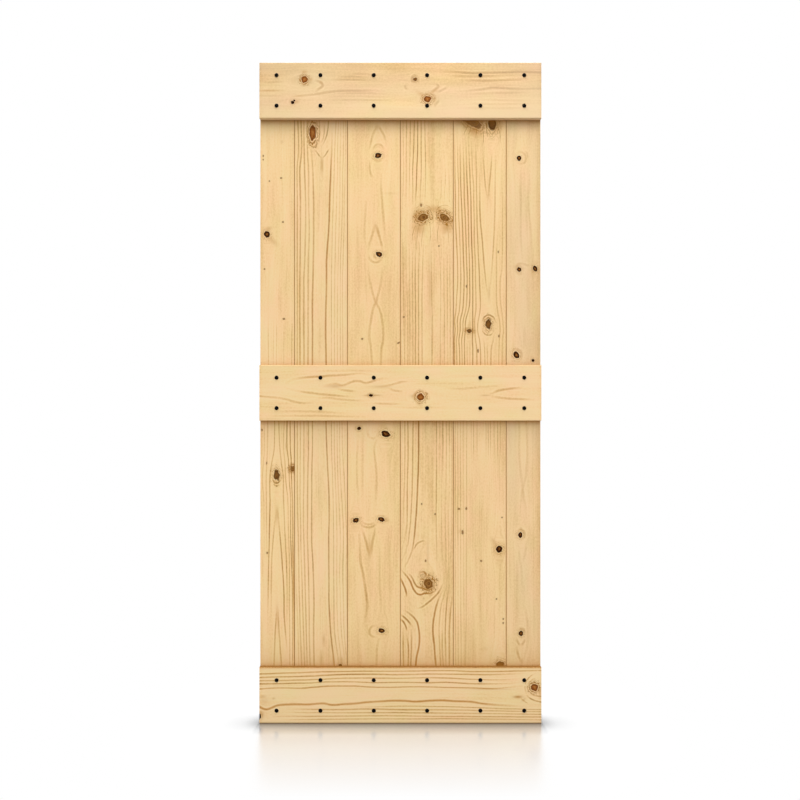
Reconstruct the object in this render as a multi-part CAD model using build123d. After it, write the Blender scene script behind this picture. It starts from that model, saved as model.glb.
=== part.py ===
from build123d import *
import os

# Knotty-pine barn door slab: vertical tongue-and-groove planks under three rails,
# every rail screwed to every plank from the front.
# Frame: X across the door, Y from the front to the back, Z up. The origin is the middle
# of the top rail's upper edge, where a hanger plate screws down.

# Driving dimensions, millimetres and degrees

# Planks
DOOR_HEIGHT = 2133.6
PLANK_THICKNESS = 19.0
MIDDLE_PLANK_COVER = 172.2
EDGE_PLANK_COVER = 111.2

# Tongue-and-groove joint between planks
JOINT_GAP = 0.3
TONGUE_THICKNESS = 6.0
TONGUE_LENGTH = 6.5
TONGUE_SIDE_CLEARANCE = 0.2
TONGUE_END_CLEARANCE = 0.8
FRONT_V_BEVEL = 1.6
BACK_V_BEVEL = 0.8
OUTER_EDGE_ROUND = 1.2

# Rails
RAIL_HEIGHT = 179.5
RAIL_THICKNESS = 16.0
RAIL_EDGE_ROUND = 1.2

# Screw heads: only the head shows, so the shank in the wood is left out
SCREW_HEAD_DIAMETER = 13.0
SCREW_HEAD_HEIGHT = 3.0
SCREW_CROWN_DIAMETER = 7.2
SCREW_ROW_INSET = 40.5
SCREW_TURN_STEP = 41.0
RECESS_SPAN = 5.6
RECESS_WIDTH = 1.2
RECESS_DEPTH = 1.6

# Planks from left to right, with the width that each covers
PLANK_COVERS = {
    "left_edge_plank": EDGE_PLANK_COVER,
    "left_outer_plank": MIDDLE_PLANK_COVER,
    "left_inner_plank": MIDDLE_PLANK_COVER,
    "right_inner_plank": MIDDLE_PLANK_COVER,
    "right_outer_plank": MIDDLE_PLANK_COVER,
    "right_edge_plank": EDGE_PLANK_COVER,
}
PLANK_NAMES = list(PLANK_COVERS)

# Sizes worked out from the driving dimensions
door_width = sum(PLANK_COVERS.values())
rail_front = -RAIL_THICKNESS / 2
plank_front = RAIL_THICKNESS / 2
plank_back = plank_front + PLANK_THICKNESS
plank_middle = plank_front + PLANK_THICKNESS / 2

# Heights of the rails' centre lines, and of the two screw rows about each of them
RAIL_CENTRES = {
    "top_rail": -RAIL_HEIGHT / 2,
    "middle_rail": -DOOR_HEIGHT / 2,
    "bottom_rail": RAIL_HEIGHT / 2 - DOOR_HEIGHT,
}
SCREW_ROWS = [
    RAIL_HEIGHT / 2 - SCREW_ROW_INSET,
    SCREW_ROW_INSET - RAIL_HEIGHT / 2,
]


def plank_spans():
    """Left and right joint lines of each plank, across the door."""
    spans = {}
    left = -door_width / 2
    for name, cover in PLANK_COVERS.items():
        spans[name] = (left, left + cover)
        left += cover
    return spans


def groove_side(left):
    """Left side of a plank's section, from its back face to its front: bevels and a groove."""
    half_groove = TONGUE_THICKNESS / 2 + TONGUE_SIDE_CLEARANCE
    floor = left + TONGUE_LENGTH + TONGUE_END_CLEARANCE - JOINT_GAP
    return [
        (left + BACK_V_BEVEL, plank_back),
        (left, plank_back - BACK_V_BEVEL),
        (left, plank_middle + half_groove),
        (floor, plank_middle + half_groove),
        (floor, plank_middle - half_groove),
        (left, plank_middle - half_groove),
        (left, plank_front + FRONT_V_BEVEL),
        (left + FRONT_V_BEVEL, plank_front),
    ]


def tongue_side(right):
    """Right side of a plank's section, from its front face to its back: bevels and a tongue."""
    half_tongue = TONGUE_THICKNESS / 2
    tip = right + TONGUE_LENGTH
    return [
        (right - FRONT_V_BEVEL, plank_front),
        (right, plank_front + FRONT_V_BEVEL),
        (right, plank_middle - half_tongue),
        (tip, plank_middle - half_tongue),
        (tip, plank_middle + half_tongue),
        (right, plank_middle + half_tongue),
        (right, plank_back - BACK_V_BEVEL),
        (right - BACK_V_BEVEL, plank_back),
    ]


def plank(name, span):
    """One plank, tongue to the right and groove to the left; the door's own sides are rounded."""
    first = name == PLANK_NAMES[0]
    last = name == PLANK_NAMES[-1]
    left = span[0] if first else span[0] + JOINT_GAP / 2
    right = span[1] if last else span[1] - JOINT_GAP / 2
    left_side = [(left, plank_back), (left, plank_front)] if first else groove_side(left)
    right_side = [(right, plank_front), (right, plank_back)] if last else tongue_side(right)
    section = make_face(Polyline(*left_side, *right_side, close=True))
    board = extrude(section, amount=-DOOR_HEIGHT, dir=(0, 0, 1))
    if first or last:
        outside = board.faces().sort_by(Axis.X)[0 if first else -1]
        board = fillet(outside.edges().filter_by(Axis.Z), OUTER_EDGE_ROUND)
    return board


def rail(centre):
    """One rail with its front edges eased."""
    board = Pos(0, 0, centre) * Box(door_width, RAIL_THICKNESS, RAIL_HEIGHT)
    return fillet(board.faces().sort_by(Axis.Y)[0].edges(), RAIL_EDGE_ROUND)


def screw_head():
    """One screw head facing -Y, its seat at the origin: sloping flank, crown and cross recess."""
    seat = SCREW_HEAD_DIAMETER / 2
    crown = SCREW_CROWN_DIAMETER / 2
    outline = Polyline(
        (0, 0),
        (seat, 0),
        (crown, -SCREW_HEAD_HEIGHT),
        (0, -SCREW_HEAD_HEIGHT),
        close=True,
    )
    body = revolve(make_face(outline), axis=Axis.Y)
    slot = Pos(0, -SCREW_HEAD_HEIGHT, 0) * Box(RECESS_SPAN, 2 * RECESS_DEPTH, RECESS_WIDTH)
    return body - slot - Rot(0, 90, 0) * slot


def screw_pair(x, centre, first_turn):
    """The two screws that hold a plank to a rail, each stopped at its own angle."""
    head = screw_head()
    heads = []
    for number, row in enumerate(SCREW_ROWS):
        turned = Rot(0, first_turn + number * SCREW_TURN_STEP, 0) * head
        heads.append(Pos(x, rail_front, centre + row) * turned)
    return Compound(heads)


def build_door():
    """Every piece of the door under its own name."""
    spans = plank_spans()
    pieces = {name: plank(name, span) for name, span in spans.items()}
    turn = 0
    for rail_name, centre in RAIL_CENTRES.items():
        pieces[rail_name] = rail(centre)
        for plank_name, span in spans.items():
            pair = screw_pair(sum(span) / 2, centre, turn)
            pieces[f"{rail_name}_{plank_name}_screws"] = pair
            turn += len(SCREW_ROWS) * SCREW_TURN_STEP
    return pieces


os.makedirs("parts", exist_ok=True)
for node, solid in build_door().items():
    solid.label = node
    export_step(solid, f"parts/{node}.step")
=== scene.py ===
import math
from collections import namedtuple

import bpy
import numpy as np
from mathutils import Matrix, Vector


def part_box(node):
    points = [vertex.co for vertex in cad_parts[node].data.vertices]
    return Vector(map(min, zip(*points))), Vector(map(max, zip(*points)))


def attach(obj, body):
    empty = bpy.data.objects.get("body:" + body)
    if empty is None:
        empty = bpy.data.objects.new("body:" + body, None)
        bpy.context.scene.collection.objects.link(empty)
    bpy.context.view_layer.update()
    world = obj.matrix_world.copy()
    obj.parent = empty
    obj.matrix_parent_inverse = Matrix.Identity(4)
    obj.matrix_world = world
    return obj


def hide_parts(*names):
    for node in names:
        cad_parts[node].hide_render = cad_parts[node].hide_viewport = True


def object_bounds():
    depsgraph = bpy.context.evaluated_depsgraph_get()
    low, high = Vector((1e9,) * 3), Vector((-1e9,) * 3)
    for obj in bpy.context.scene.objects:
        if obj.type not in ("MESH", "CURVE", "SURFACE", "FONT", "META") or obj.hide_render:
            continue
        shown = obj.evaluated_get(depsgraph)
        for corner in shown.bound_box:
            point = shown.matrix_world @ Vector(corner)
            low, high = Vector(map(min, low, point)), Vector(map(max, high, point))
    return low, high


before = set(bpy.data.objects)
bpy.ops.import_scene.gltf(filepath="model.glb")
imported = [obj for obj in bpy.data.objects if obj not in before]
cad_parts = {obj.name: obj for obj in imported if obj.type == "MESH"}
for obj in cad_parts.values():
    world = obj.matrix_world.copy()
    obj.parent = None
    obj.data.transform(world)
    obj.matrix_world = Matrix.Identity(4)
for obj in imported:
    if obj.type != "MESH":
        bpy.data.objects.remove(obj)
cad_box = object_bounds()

# A knotty-pine barn door: six tongue-and-groove planks, three rails and black dome-head screws.
# Sizes here are millimetres in the door's frame, and become metres where a mesh is made.
# On a plank "along" runs down from the top and "across" to the right of the plank's middle;
# on a rail "along" runs to the right of the door's middle and "across" up from the rail's middle.

MM = 0.001

# Board sections
PLANK_FRONT = 8.0
PLANK_BACK = 27.0
TONGUE_THICKNESS = 6.0
TONGUE_LENGTH = 6.5
GROOVE_DEPTH = 7.0
GROOVE_WIDTH = 6.4
FRONT_V_BEVEL = 1.6
BACK_V_BEVEL = 0.8
EDGE_ROUND = 1.2
ROUND_STEPS = 4

# Mesh spacing on the boards, and the angles from which edges show sharp
FRONT_STEP = 3.0
BACK_STEP = 10.0
ALONG_STEP = 4.2
HIDDEN_STEP = 15.0
BOARD_SHARP_ANGLE = math.radians(32)
HEAD_SHARP_ANGLE = math.radians(40)

PLANKS = [
    "left_edge_plank",
    "left_outer_plank",
    "left_inner_plank",
    "right_inner_plank",
    "right_outer_plank",
    "right_edge_plank",
]
RAILS = ["top_rail", "middle_rail", "bottom_rail"]

# What shows on a board.
# tone: darker above 0. ring: width of a year's growth. heart: where the log's heart lies, across and behind.
# plain: how plainly the background rings show on the front. coarse: how plainly its fibres show.
# pale: how far it is bleached. lean: how much darker its right or upper edge is than its middle, a painted
# shade.
Wood = namedtuple("Wood", "tone ring heart plain coarse pale lean knots streaks lines")

# A knot or streak: width is measured across the grain and length along it, before a turn by tilt degrees.
Knot = namedtuple("Knot", "kind across along width length tilt", defaults=[0])
Streak = namedtuple("Streak", "strength across along width length tilt", defaults=[0])

# A dark growth line through (across, along) places. half is half its width, in millimetres.
# warm turns it from grey-brown to orange.
Line = namedtuple("Line", "half warm strength places")

# Knot kinds: how far it hides the wood, how much brown spreads around it, its tint, how plain its rings are.
# The tint runs from -1, a hole painted black as its shade, over 0, dark brown, and 0.5, olive brown, to 1,
# amber.
KnotLook = namedtuple("KnotLook", "cover halo tint eye")
KNOT_KINDS = {
    "black": KnotLook(1.0, 0.3, 0.0, 0.8),
    "brown": KnotLook(1.0, 0.6, 0.25, 1.0),
    "olive": KnotLook(1.0, 1.8, 0.5, 1.0),
    "amber": KnotLook(1.0, 1.1, 1.0, 1.0),
    "hole": KnotLook(1.0, 0.6, -0.55, 0.2),
    "pale": KnotLook(0.2, 0.3, 0.8, 0.8),
    "speck": KnotLook(0.85, 0.15, 0.4, 0.0),
    "swirl": KnotLook(0.85, 0.5, 0.5, 0.6),
}


def knots(kind, *marks):
    """Knots of one kind."""
    return [Knot(kind, *mark) for mark in marks]


def streaks(*marks):
    """Streaks from their values."""
    return [Streak(*mark) for mark in marks]


def lines(half, warm, *paths):
    """Growth lines of one width and warmth: the strength of each, and the places that it runs through."""
    return [Line(half, warm, strength, places) for strength, places in paths]


def side_by_side(half, warm, strengths, *stations):
    """Growth lines that run together: each station gives an along value and where the lines cross it."""
    return [
        Line(half, warm, strength, [(row[number], along) for along, row in stations])
        for number, strength in enumerate(strengths)
    ]


BOARDS = {
    "left_edge_plank": Wood(
        tone=-0.07, ring=6.5, heart=(-8, 60), plain=0.15, coarse=0.65, pale=0.0, lean=0.0,
        knots=knots("black", (-34, 551, 18, 21, -20))
        + knots("speck", (-46, 296, 4, 7), (-46, 308, 4, 5), (12, 368, 7, 5), (-26, 378, 4, 5),
            (18, 511, 6, 6), (-42, 664, 5, 5), (21, 826, 8, 6))
        + knots("brown", (-3, 1334, 18, 32))
        + knots("olive", (50, 1313, 14, 17, 10))
        + knots("speck", (-50, 1187, 5, 8), (-35, 1295, 4, 8), (-33, 1587, 5, 8)),
        streaks=streaks((0.3, -16, 572, 18, 48, -50), (0.35, -30, 534, 30, 14, -20),
            (0.2, 15, 250, 12, 10), (0.35, 28, 1239, 6, 30), (0.45, 44, 1316, 22, 16),
            (0.4, -1, 1462, 11, 60), (0.3, 0, 1800, 12, 100)),
        lines=side_by_side(1.9, 0.2, [0.25, 0.3, 0.35, 0.25, 0.4], (830, [-30, -13, -2, 22, 48]),
            (1000, [-29, -13, -4, 20, 46]))
        + side_by_side(2.2, 0.3, [0.24, 0.3], (1130, [-44, -31]), (1238, [-42, -32]), (1287, [-45, -34]),
            (1352, [-49, -37]), (1417, [-44, -36]), (1514, [-43, -36]), (1612, [-42, -36]))
        + side_by_side(2.4, 0.3, [0.6, 0.45], (1130, [-9, 4]), (1238, [-10, 7]), (1287, [-17, 12]),
            (1340, [-24, 19]), (1417, [-24, 20]), (1514, [-26, 24]), (1612, [-28, 29]),
            (1709, [-30, 32]), (1807, [-32, 33]))
        + side_by_side(2.2, 0.3, [0.4, 0.62, 0.66], (1130, [23, 32, 42]), (1238, [20, 31, 42]),
            (1287, [24, 36, 45]), (1352, [27, 39, 46]), (1417, [34, 43, 49]), (1514, [36, 43, 50]),
            (1612, [39, 46, 51]), (1709, [39, 49, 53]), (1980, [41, 50, 55]))
        + lines(2.6, 0.2,
            (0.44, [(-1, 1430), (-10, 1500), (-15, 1560), (-18, 1612), (-20, 1709), (-21, 1807)]),
            (0.76, [(0, 1430), (6, 1500), (11, 1560), (15, 1612), (21, 1709), (23, 1807), (33, 1921)]),
            (0.5, [(0, 1750), (-6, 1830), (-9, 1900), (-12, 1980)]),
            (0.5, [(0, 1750), (4, 1820), (8, 1880), (15, 1980)]),
            (0.76, [(-16, 1345), (-12, 1356), (-3, 1361), (6, 1356), (10, 1346)]),
            (0.44, [(-16, 1355), (-10, 1366), (-2, 1370), (8, 1364)])),
    ),
    "left_outer_plank": Wood(
        tone=-0.08, ring=5.5, heart=(4, 30), plain=0.12, coarse=0.9, pale=0.1, lean=0.0,
        knots=knots("amber", (-27, 221, 20, 49))
        + knots("hole", (63, 1955, 13, 13)),
        streaks=streaks((0.6, 3, 325, 9, 56), (0.3, 20, 640, 5, 200, 2), (0.35, 9, 1870, 11, 44),
            (0.35, 1, 1935, 10, 60), (0.35, 40, 1940, 9, 50), (0.35, 66, 1938, 20, 26)),
        lines=side_by_side(2.9, 0.4, [0.5, 0.55, 0.5, 0.42], (150, [-76, -66, -56, -44]),
            (278, [-73, -63, -55, -44]), (343, [-78, -69, -53, -41]), (441, [-77, -67, -50, -40]),
            (539, [-77, -67, -50, -38]), (636, [-77, -68, -53, -41]), (734, [-77, -69, -56, -42]),
            (1010, [-77, -68, -55, -42]))
        + side_by_side(2.0, 0.2, [0.42, 0.34, 0.3, 0.36, 0.32], (150, [50, 58, 65, 73, 80]),
            (278, [45, 54, 63, 73, 80]), (343, [43, 54, 62, 71, 78]), (441, [40, 51, 61, 70, 76]),
            (539, [37, 48, 59, 67, 75]), (636, [35, 46, 56, 64, 72]), (734, [34, 44, 54, 63, 70]),
            (1010, [34, 44, 53, 63, 71]))
        + lines(3.0, 0.6, (0.66, [(-40, 262), (-31, 285), (-27, 343), (-24, 441), (-24, 539), (-25, 636),
            (-27, 734), (-28, 831), (-28, 1010)]), (0.76, [(36, 190), (35, 278), (32, 343), (28, 441),
            (25, 539), (18, 636), (18, 734), (15, 831), (16, 913), (17, 1010)]))
        + lines(2.6, 0.2, (0.57, [(-20, 275), (-8, 292), (2, 304)]),
            (0.62, [(28, 270), (20, 284), (12, 296), (3, 304)]),
            (0.52, [(-44, 172), (-44, 210), (-42, 245), (-34, 262), (-22, 264), (-12, 250)]),
            (0.47, [(-40, 180), (-33, 172), (-22, 172)]))
        + lines(2.6, 0.1, (0.62, [(24, 150), (24, 190), (20, 222), (12, 246), (0, 268)]),
            (0.42, [(12, 190), (10, 225), (4, 248), (-4, 256)]),
            (0.42, [(-8, 170), (-4, 200), (-6, 240), (-14, 262)]))
        + side_by_side(2.7, 0.4, [0.46, 0.42, 0.5, 0.5], (1130, [-77, -67, -56, -41]),
            (1254, [-77, -67, -56, -41]), (1352, [-77, -68, -56, -43]), (1449, [-76, -67, -57, -44]),
            (1547, [-74, -66, -56, -44]), (1644, [-72, -63, -53, -41]), (1742, [-70, -60, -50, -39]),
            (1840, [-67, -57, -48, -38]), (1980, [-62, -52, -44, -35]))
        + side_by_side(2.1, 0.2, [0.42, 0.36, 0.32, 0.38, 0.32], (1130, [34, 43, 52, 61, 68]),
            (1254, [35, 44, 53, 61, 70]), (1352, [38, 47, 55, 64, 76]), (1449, [40, 50, 60, 70, 80]),
            (1547, [41, 52, 63, 73, 84]), (1644, [41, 51, 61, 71, 82]), (1742, [42, 52, 63, 73, 84]),
            (1840, [44, 55, 66, 75, 86]), (1921, [54, 64, 75, 82, 90]), (1980, [60, 70, 81, 88, 96]))
        + lines(2.7, 0.3, (0.62, [(-28, 1130), (-28, 1254), (-30, 1352), (-30, 1449), (-30, 1547),
            (-25, 1644), (-23, 1742), (-24, 1840), (-22, 1980)]))
        + lines(2.8, 0.5, (0.66, [(17, 1130), (17, 1173), (19, 1254), (24, 1352), (27, 1449), (25, 1547),
            (26, 1644), (26, 1742), (31, 1840), (40, 1921), (46, 1980)]))
        + lines(2.6, 0.3, (0.3, [(-82, 1600), (-80, 1644), (-78, 1742), (-75, 1840), (-72, 1980)])),
    ),
    "left_inner_plank": Wood(
        tone=0.0, ring=7.0, heart=(6, 70), plain=0.1, coarse=0.55, pale=0.0, lean=0.0,
        knots=knots("black", (14, 295, 22, 16, -12), (17, 616, 20, 16, 12))
        + knots("speck", (-38, 891, 7, 6), (80, 904, 10, 5, -25))
        + knots("hole", (-48, 1182, 12, 11, -15))
        + knots("black", (38, 1200, 28, 20, 22), (-59, 1481, 20, 15, -20), (24, 1478, 21, 14, 15),
            (25, 1840, 20, 15, 10)),
        streaks=streaks((0.35, -14, 1570, 18, 70), (0.3, 7, 770, 12, 30), (0.25, 10, 205, 14, 22),
            (0.25, 10, 535, 14, 50, -20), (0.35, -60, 1182, 10, 12), (0.3, 40, 1480, 22, 14, 10),
            (0.15, 55, 418, 50, 8), (0.15, 50, 960, 30, 14)),
        lines=lines(4.2, 0.1, (0.31, [(12, 192), (2, 214), (-7, 240), (-15, 278)]),
            (0.35, [(12, 192), (21, 209), (31, 226), (39, 248)]),
            (0.38, [(-8, 284), (1, 266), (12, 257), (24, 262), (36, 278)]),
            (0.23, [(-2, 276), (6, 268), (13, 264), (22, 268), (30, 278)]),
            (0.27, [(-11, 308), (-14, 335), (-9, 358), (1, 371)]),
            (0.23, [(0, 302), (8, 314), (20, 312), (28, 302)]),
            (0.31, [(24, 345), (24, 400), (27, 450), (31, 500), (36, 565)]),
            (0.2, [(-20, 420), (-28, 480), (-30, 560), (-22, 600)]),
            (0.27, [(5, 515), (-5, 550), (-14, 580), (-18, 610)]), (0.31, [(-22, 655), (-16, 690),
            (-10, 715), (-4, 742), (4, 768), (18, 795), (26, 825), (30, 860), (29, 900), (24, 930),
            (22, 1010)]), (0.31, [(31, 650), (26, 690), (20, 720), (14, 745), (8, 768), (-2, 790),
            (-8, 820), (-14, 860), (-15, 890), (-10, 920), (-4, 1010)]),
            (0.23, [(-24, 1175), (-18, 1205), (-4, 1215), (10, 1208), (17, 1188)]), (0.31, [(22, 1196),
            (12, 1210), (5, 1226), (1, 1246), (2, 1266), (6, 1300), (8, 1350), (5, 1440)]),
            (0.2, [(-50, 1190), (-56, 1300), (-49, 1440)]),
            (0.2, [(-35, 1170), (-37, 1300), (-36, 1440)]), (0.35, [(-50, 1498), (-46, 1560),
            (-44, 1615), (-36, 1650), (-30, 1690), (-24, 1730), (-21, 1760), (-26, 1790), (-34, 1824)]),
            (0.2, [(19, 1540), (18, 1650), (22, 1750), (23, 1800)]),
            (0.31, [(22, 1858), (14, 1875), (10, 1900), (8, 1980)]))
        + lines(4.2, 0.2, (0.38, [(5, 515), (14, 543), (22, 572), (29, 606)]),
            (0.35, [(-18, 618), (-10, 635), (4, 643), (17, 639), (27, 628)]),
            (0.27, [(-2, 612), (4, 628), (14, 632)]),
            (0.38, [(-48, 1488), (-36, 1500), (-18, 1504), (0, 1499), (13, 1487)]),
            (0.27, [(-46, 1482), (-30, 1492), (-12, 1495), (8, 1486)]),
            (0.31, [(12, 1826), (-2, 1824), (-14, 1836), (-13, 1852), (0, 1861), (14, 1862)]))
        + lines(4.2, 0.3, (0.35, [(-42, 1502), (-32, 1530), (-26, 1550), (-20, 1575), (-10, 1602)]),
            (0.31, [(3, 1502), (0, 1530), (-6, 1560), (-9, 1600)])),
    ),
    "right_inner_plank": Wood(
        tone=0.01, ring=6.5, heart=(20, 45), plain=0.2, coarse=0.8, pale=0.05, lean=0.0,
        knots=knots("olive", (-12, 496, 30, 23, -20), (57, 496, 32, 21, 28))
        + knots("speck", (-19, 456, 6, 11), (39, 589, 5, 5), (-75, 820, 6, 6), (-17, 1428, 5, 6),
            (27, 1461, 5, 7), (-4, 1613, 5, 8))
        + knots("pale", (-12, 1662, 17, 18))
        + knots("olive", (5, 1687, 26, 30)),
        streaks=streaks((0.3, 10, 720, 15, 230), (0.5, -32, 486, 30, 60, 20), (0.45, 20, 468, 80, 22, 4),
            (0.55, 66, 526, 44, 44, 20), (0.55, -24, 530, 46, 44, -10), (0.3, 3, 1590, 8, 110),
            (0.35, -16, 1700, 40, 12, 20)),
        lines=side_by_side(2.3, 0.4, [0.24, 0.28, 0.32, 0.6, 0.7, 0.42, 0.42],
            (150, [-77, -66, -53, -40, -30, -19, -8]), (213, [-77, -66, -54, -41, -30, -19, -7]),
            (278, [-76, -67, -55, -43, -30, -19, -5]), (343, [-76, -67, -56, -46, -33, -18, -4]),
            (408, [-77, -68, -57, -46, -35, -21, -5]), (470, [-80, -70, -59, -48, -38, -23, -9]))
        + side_by_side(2.2, 0.4, [0.24, 0.24, 0.22, 0.22, 0.38, 0.42, 0.36],
            (535, [-82, -72, -60, -48, -37, -24, -9]), (587, [-78, -68, -57, -46, -37, -25, -11]),
            (701, [-76, -66, -57, -47, -38, -27, -15]), (831, [-74, -63, -56, -46, -37, -27, -16]),
            (1010, [-72, -62, -56, -46, -38, -27, -15]))
        + side_by_side(1.8, 0.2, [0.2, 0.25, 0.25], (330, [50, 62, 72]), (470, [44, 55, 73]))
        + side_by_side(1.8, 0.2, [0.4, 0.3, 0.36, 0.3, 0.3], (560, [14, 38, 56, 66, 75]),
            (701, [15, 45, 55, 66, 75]), (831, [17, 44, 57, 67, 76]), (1010, [16, 44, 57, 67, 76]))
        + lines(2.9, 0.4, (0.85, [(-27, 1130), (-27, 1254), (-29, 1352), (-34, 1449), (-39, 1514),
            (-46, 1570), (-60, 1610), (-82, 1650)]))
        + lines(2.6, 0.3, (0.5, [(-44, 1130), (-46, 1254), (-47, 1352), (-51, 1449), (-56, 1514),
            (-65, 1570), (-86, 1625)]),
            (0.45, [(-62, 1130), (-61, 1254), (-63, 1352), (-64, 1449), (-67, 1514), (-84, 1590)]))
        + lines(2.6, 0.4, (0.3, [(-72, 1130), (-72, 1254), (-73, 1352), (-76, 1449), (-80, 1540)]),
            (0.42, [(74, 1680), (66, 1740), (62, 1790), (60, 1850), (63, 1980)]))
        + lines(2.6, 0.2,
            (0.42, [(31, 1130), (31, 1352), (30, 1449), (31, 1514), (32, 1600), (34, 1650)]),
            (0.26, [(52, 1130), (51, 1254), (49, 1352), (48, 1514), (50, 1640)]))
        + lines(2.0, 0.2, (0.24, [(63, 1130), (63, 1254), (61, 1449), (62, 1600), (57, 1690)]),
            (0.22, [(73, 1130), (73, 1254), (71, 1449), (71, 1620), (64, 1700)]),
            (0.24, [(81, 1130), (80, 1500), (74, 1690)]))
        + lines(2.6, 0.5,
            (0.42, [(64, 1690), (54, 1730), (46, 1760), (42, 1800), (40, 1850), (46, 1980)]))
        + lines(3.1, 0.4, (0.59, [(84, 1720), (76, 1780), (73, 1850), (74, 1980)]),
            (0.59, [(-66, 1845), (-60, 1900), (-62, 1980)]),
            (0.59, [(-51, 1828), (-50, 1890), (-54, 1980)]), (0.52, [(-78, 1830), (-76, 1980)]))
        + lines(3.1, 0.8, (0.73, [(52, 1705), (42, 1730), (32, 1755), (24, 1790), (20, 1820), (20, 1850),
            (24, 1890), (32, 1980)]), (1.03, [(-86, 1640), (-66, 1662), (-54, 1680), (-46, 1700),
            (-34, 1718), (-20, 1723), (-6, 1718), (10, 1719), (24, 1712), (34, 1704)]),
            (1.03, [(-76, 1772), (-56, 1785), (-42, 1798), (-32, 1812), (-26, 1835), (-24, 1860),
            (-26, 1890), (-34, 1930), (-39, 1980)]),
            (0.59, [(-22, 1652), (-12, 1648), (-3, 1656), (-5, 1668)]))
        + lines(3.1, 0.6, (0.81, [(-62, 1652), (-48, 1668), (-40, 1685), (-30, 1698), (-14, 1702),
            (4, 1708), (20, 1704)]), (0.88, [(-86, 1786), (-70, 1800), (-58, 1812), (-50, 1824)]),
            (0.88, [(-88, 1800), (-76, 1812), (-68, 1828), (-65, 1842)]))
        + lines(3.1, 0.7, (0.95, [(-88, 1664), (-76, 1690), (-68, 1712), (-65, 1734)]))
        + lines(3.1, 0.5,
            (0.65, [(-38, 1768), (-20, 1765), (0, 1752), (20, 1735), (42, 1710), (52, 1684)]))
        + lines(3.1, 0.3, (0.44, [(52, 1830), (50, 1880), (54, 1980)]),
            (0.59, [(-46, 1580), (-34, 1560), (-20, 1550), (-4, 1548)]))
        + lines(3.1, 0.9, (0.59, [(-24, 1674), (-14, 1672), (-6, 1676)]))
        + lines(1.6, 0.1, (0.39, [(-36, 490), (-30, 476), (-14, 468), (2, 474), (12, 488)]),
            (0.39, [(36, 492), (42, 474), (58, 468), (74, 476), (82, 492)]),
            (0.39, [(-44, 500), (-40, 474), (-20, 456), (6, 460), (24, 484)]),
            (0.39, [(26, 484), (40, 462), (62, 456), (84, 468)]),
            (0.39, [(-30, 506), (-38, 525), (-46, 548), (-50, 590)]),
            (0.39, [(-22, 510), (-28, 532), (-32, 560), (-33, 610)]),
            (0.39, [(-8, 512), (-12, 536), (-16, 560), (-18, 600)]),
            (0.39, [(4, 506), (10, 524), (12, 550), (8, 590)]),
            (0.39, [(44, 508), (38, 526), (34, 550), (34, 590)]),
            (0.39, [(60, 510), (66, 530), (70, 552), (70, 590)]),
            (0.39, [(72, 506), (80, 524), (86, 540)])),
    ),
    "right_outer_plank": Wood(
        tone=0.02, ring=6.0, heart=(25, 60), plain=0.15, coarse=0.8, pale=0.05, lean=0.0,
        knots=knots("swirl", (-22, 186, 27, 56, -57))
        + knots("brown", (-32, 181, 6, 52, -89), (40, 192, 25, 42, -8), (28, 843, 18, 30),
            (-34, 865, 15, 12))
        + knots("speck", (60, 608, 4, 8), (-43, 720, 5, 8), (62, 882, 5, 8), (-6, 930, 5, 12))
        + knots("black", (63, 1575, 21, 21))
        + knots("speck", (-68, 1444, 8, 6), (-44, 1443, 6, 9), (72, 1472, 5, 5), (-56, 1520, 7, 13),
            (4, 1613, 7, 6), (54, 1737, 5, 5), (76, 1802, 5, 5), (76, 1815, 5, 6))
        + knots("brown", (67, 1950, 25, 22)),
        streaks=streaks((0.6, -18, 214, 44, 40, 30), (0.5, -40, 196, 28, 36), (0.5, -48, 190, 56, 14),
            (0.5, 52, 200, 40, 40, -20), (0.2, 30, 400, 10, 100), (0.3, 30, 740, 8, 60),
            (0.45, -46, 862, 20, 12), (0.4, -20, 866, 16, 12), (0.2, -66, 1517, 16, 16),
            (0.3, 46, 1552, 16, 36, -35), (0.15, 14, 1900, 30, 14, -20)),
        lines=side_by_side(2.3, 0.3, [0.6, 0.5, 0.64, 0.56, 0.62, 0.7, 0.46, 0.5],
            (230, [-82, -73, -65, -55, -46, -37, -28, -15]),
            (343, [-81, -71, -63, -52, -43, -33, -24, -11]),
            (392, [-80, -69, -62, -51, -41, -31, -20, -11]),
            (441, [-79, -69, -60, -50, -39, -29, -20, -10]),
            (506, [-79, -68, -57, -47, -37, -28, -18, -9]),
            (571, [-76, -65, -55, -45, -36, -27, -18, -7]),
            (636, [-73, -63, -53, -43, -34, -24, -15, -4]),
            (701, [-72, -62, -51, -41, -33, -23, -14, -1]),
            (766, [-76, -64, -53, -43, -33, -23, -13, 2]), (799, [-78, -67, -56, -46, -37, -23, -13, 1]),
            (831, [-82, -73, -63, -54, -46, -23, -17, -5]),
            (864, [-80, -72, -64, -55, -47, -23, -16, -7]),
            (896, [-83, -76, -68, -59, -50, -24, -14, -1]),
            (929, [-82, -75, -66, -58, -50, -23, -10, 2]), (1010, [-82, -74, -65, -57, -49, -23, -9, 3]))
        + lines(2.6, 0.3,
            (0.62, [(-1, 343), (0, 441), (2, 506), (8, 571), (13, 636), (19, 701), (28, 766)]),
            (0.42, [(51, 278), (50, 392), (48, 506), (45, 571), (41, 636), (36, 701), (29, 768)]),
            (0.36, [(10, 278), (14, 343), (18, 392), (26, 446)]),
            (0.42, [(40, 278), (36, 343), (31, 392), (27, 446)]),
            (0.4, [(10, 884), (13, 896), (16, 929), (17, 1010)]),
            (0.42, [(46, 874), (43, 896), (37, 929), (35, 1010)]), (0.3, [(24, 900), (25, 1010)]),
            (0.26, [(-40, 888), (-41, 929), (-40, 1010)]), (0.26, [(-32, 888), (-32, 1010)]))
        + lines(2.6, 0.2, (0.28, [(60, 500), (55, 600), (54, 701), (54, 766), (58, 800), (64, 835),
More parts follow.
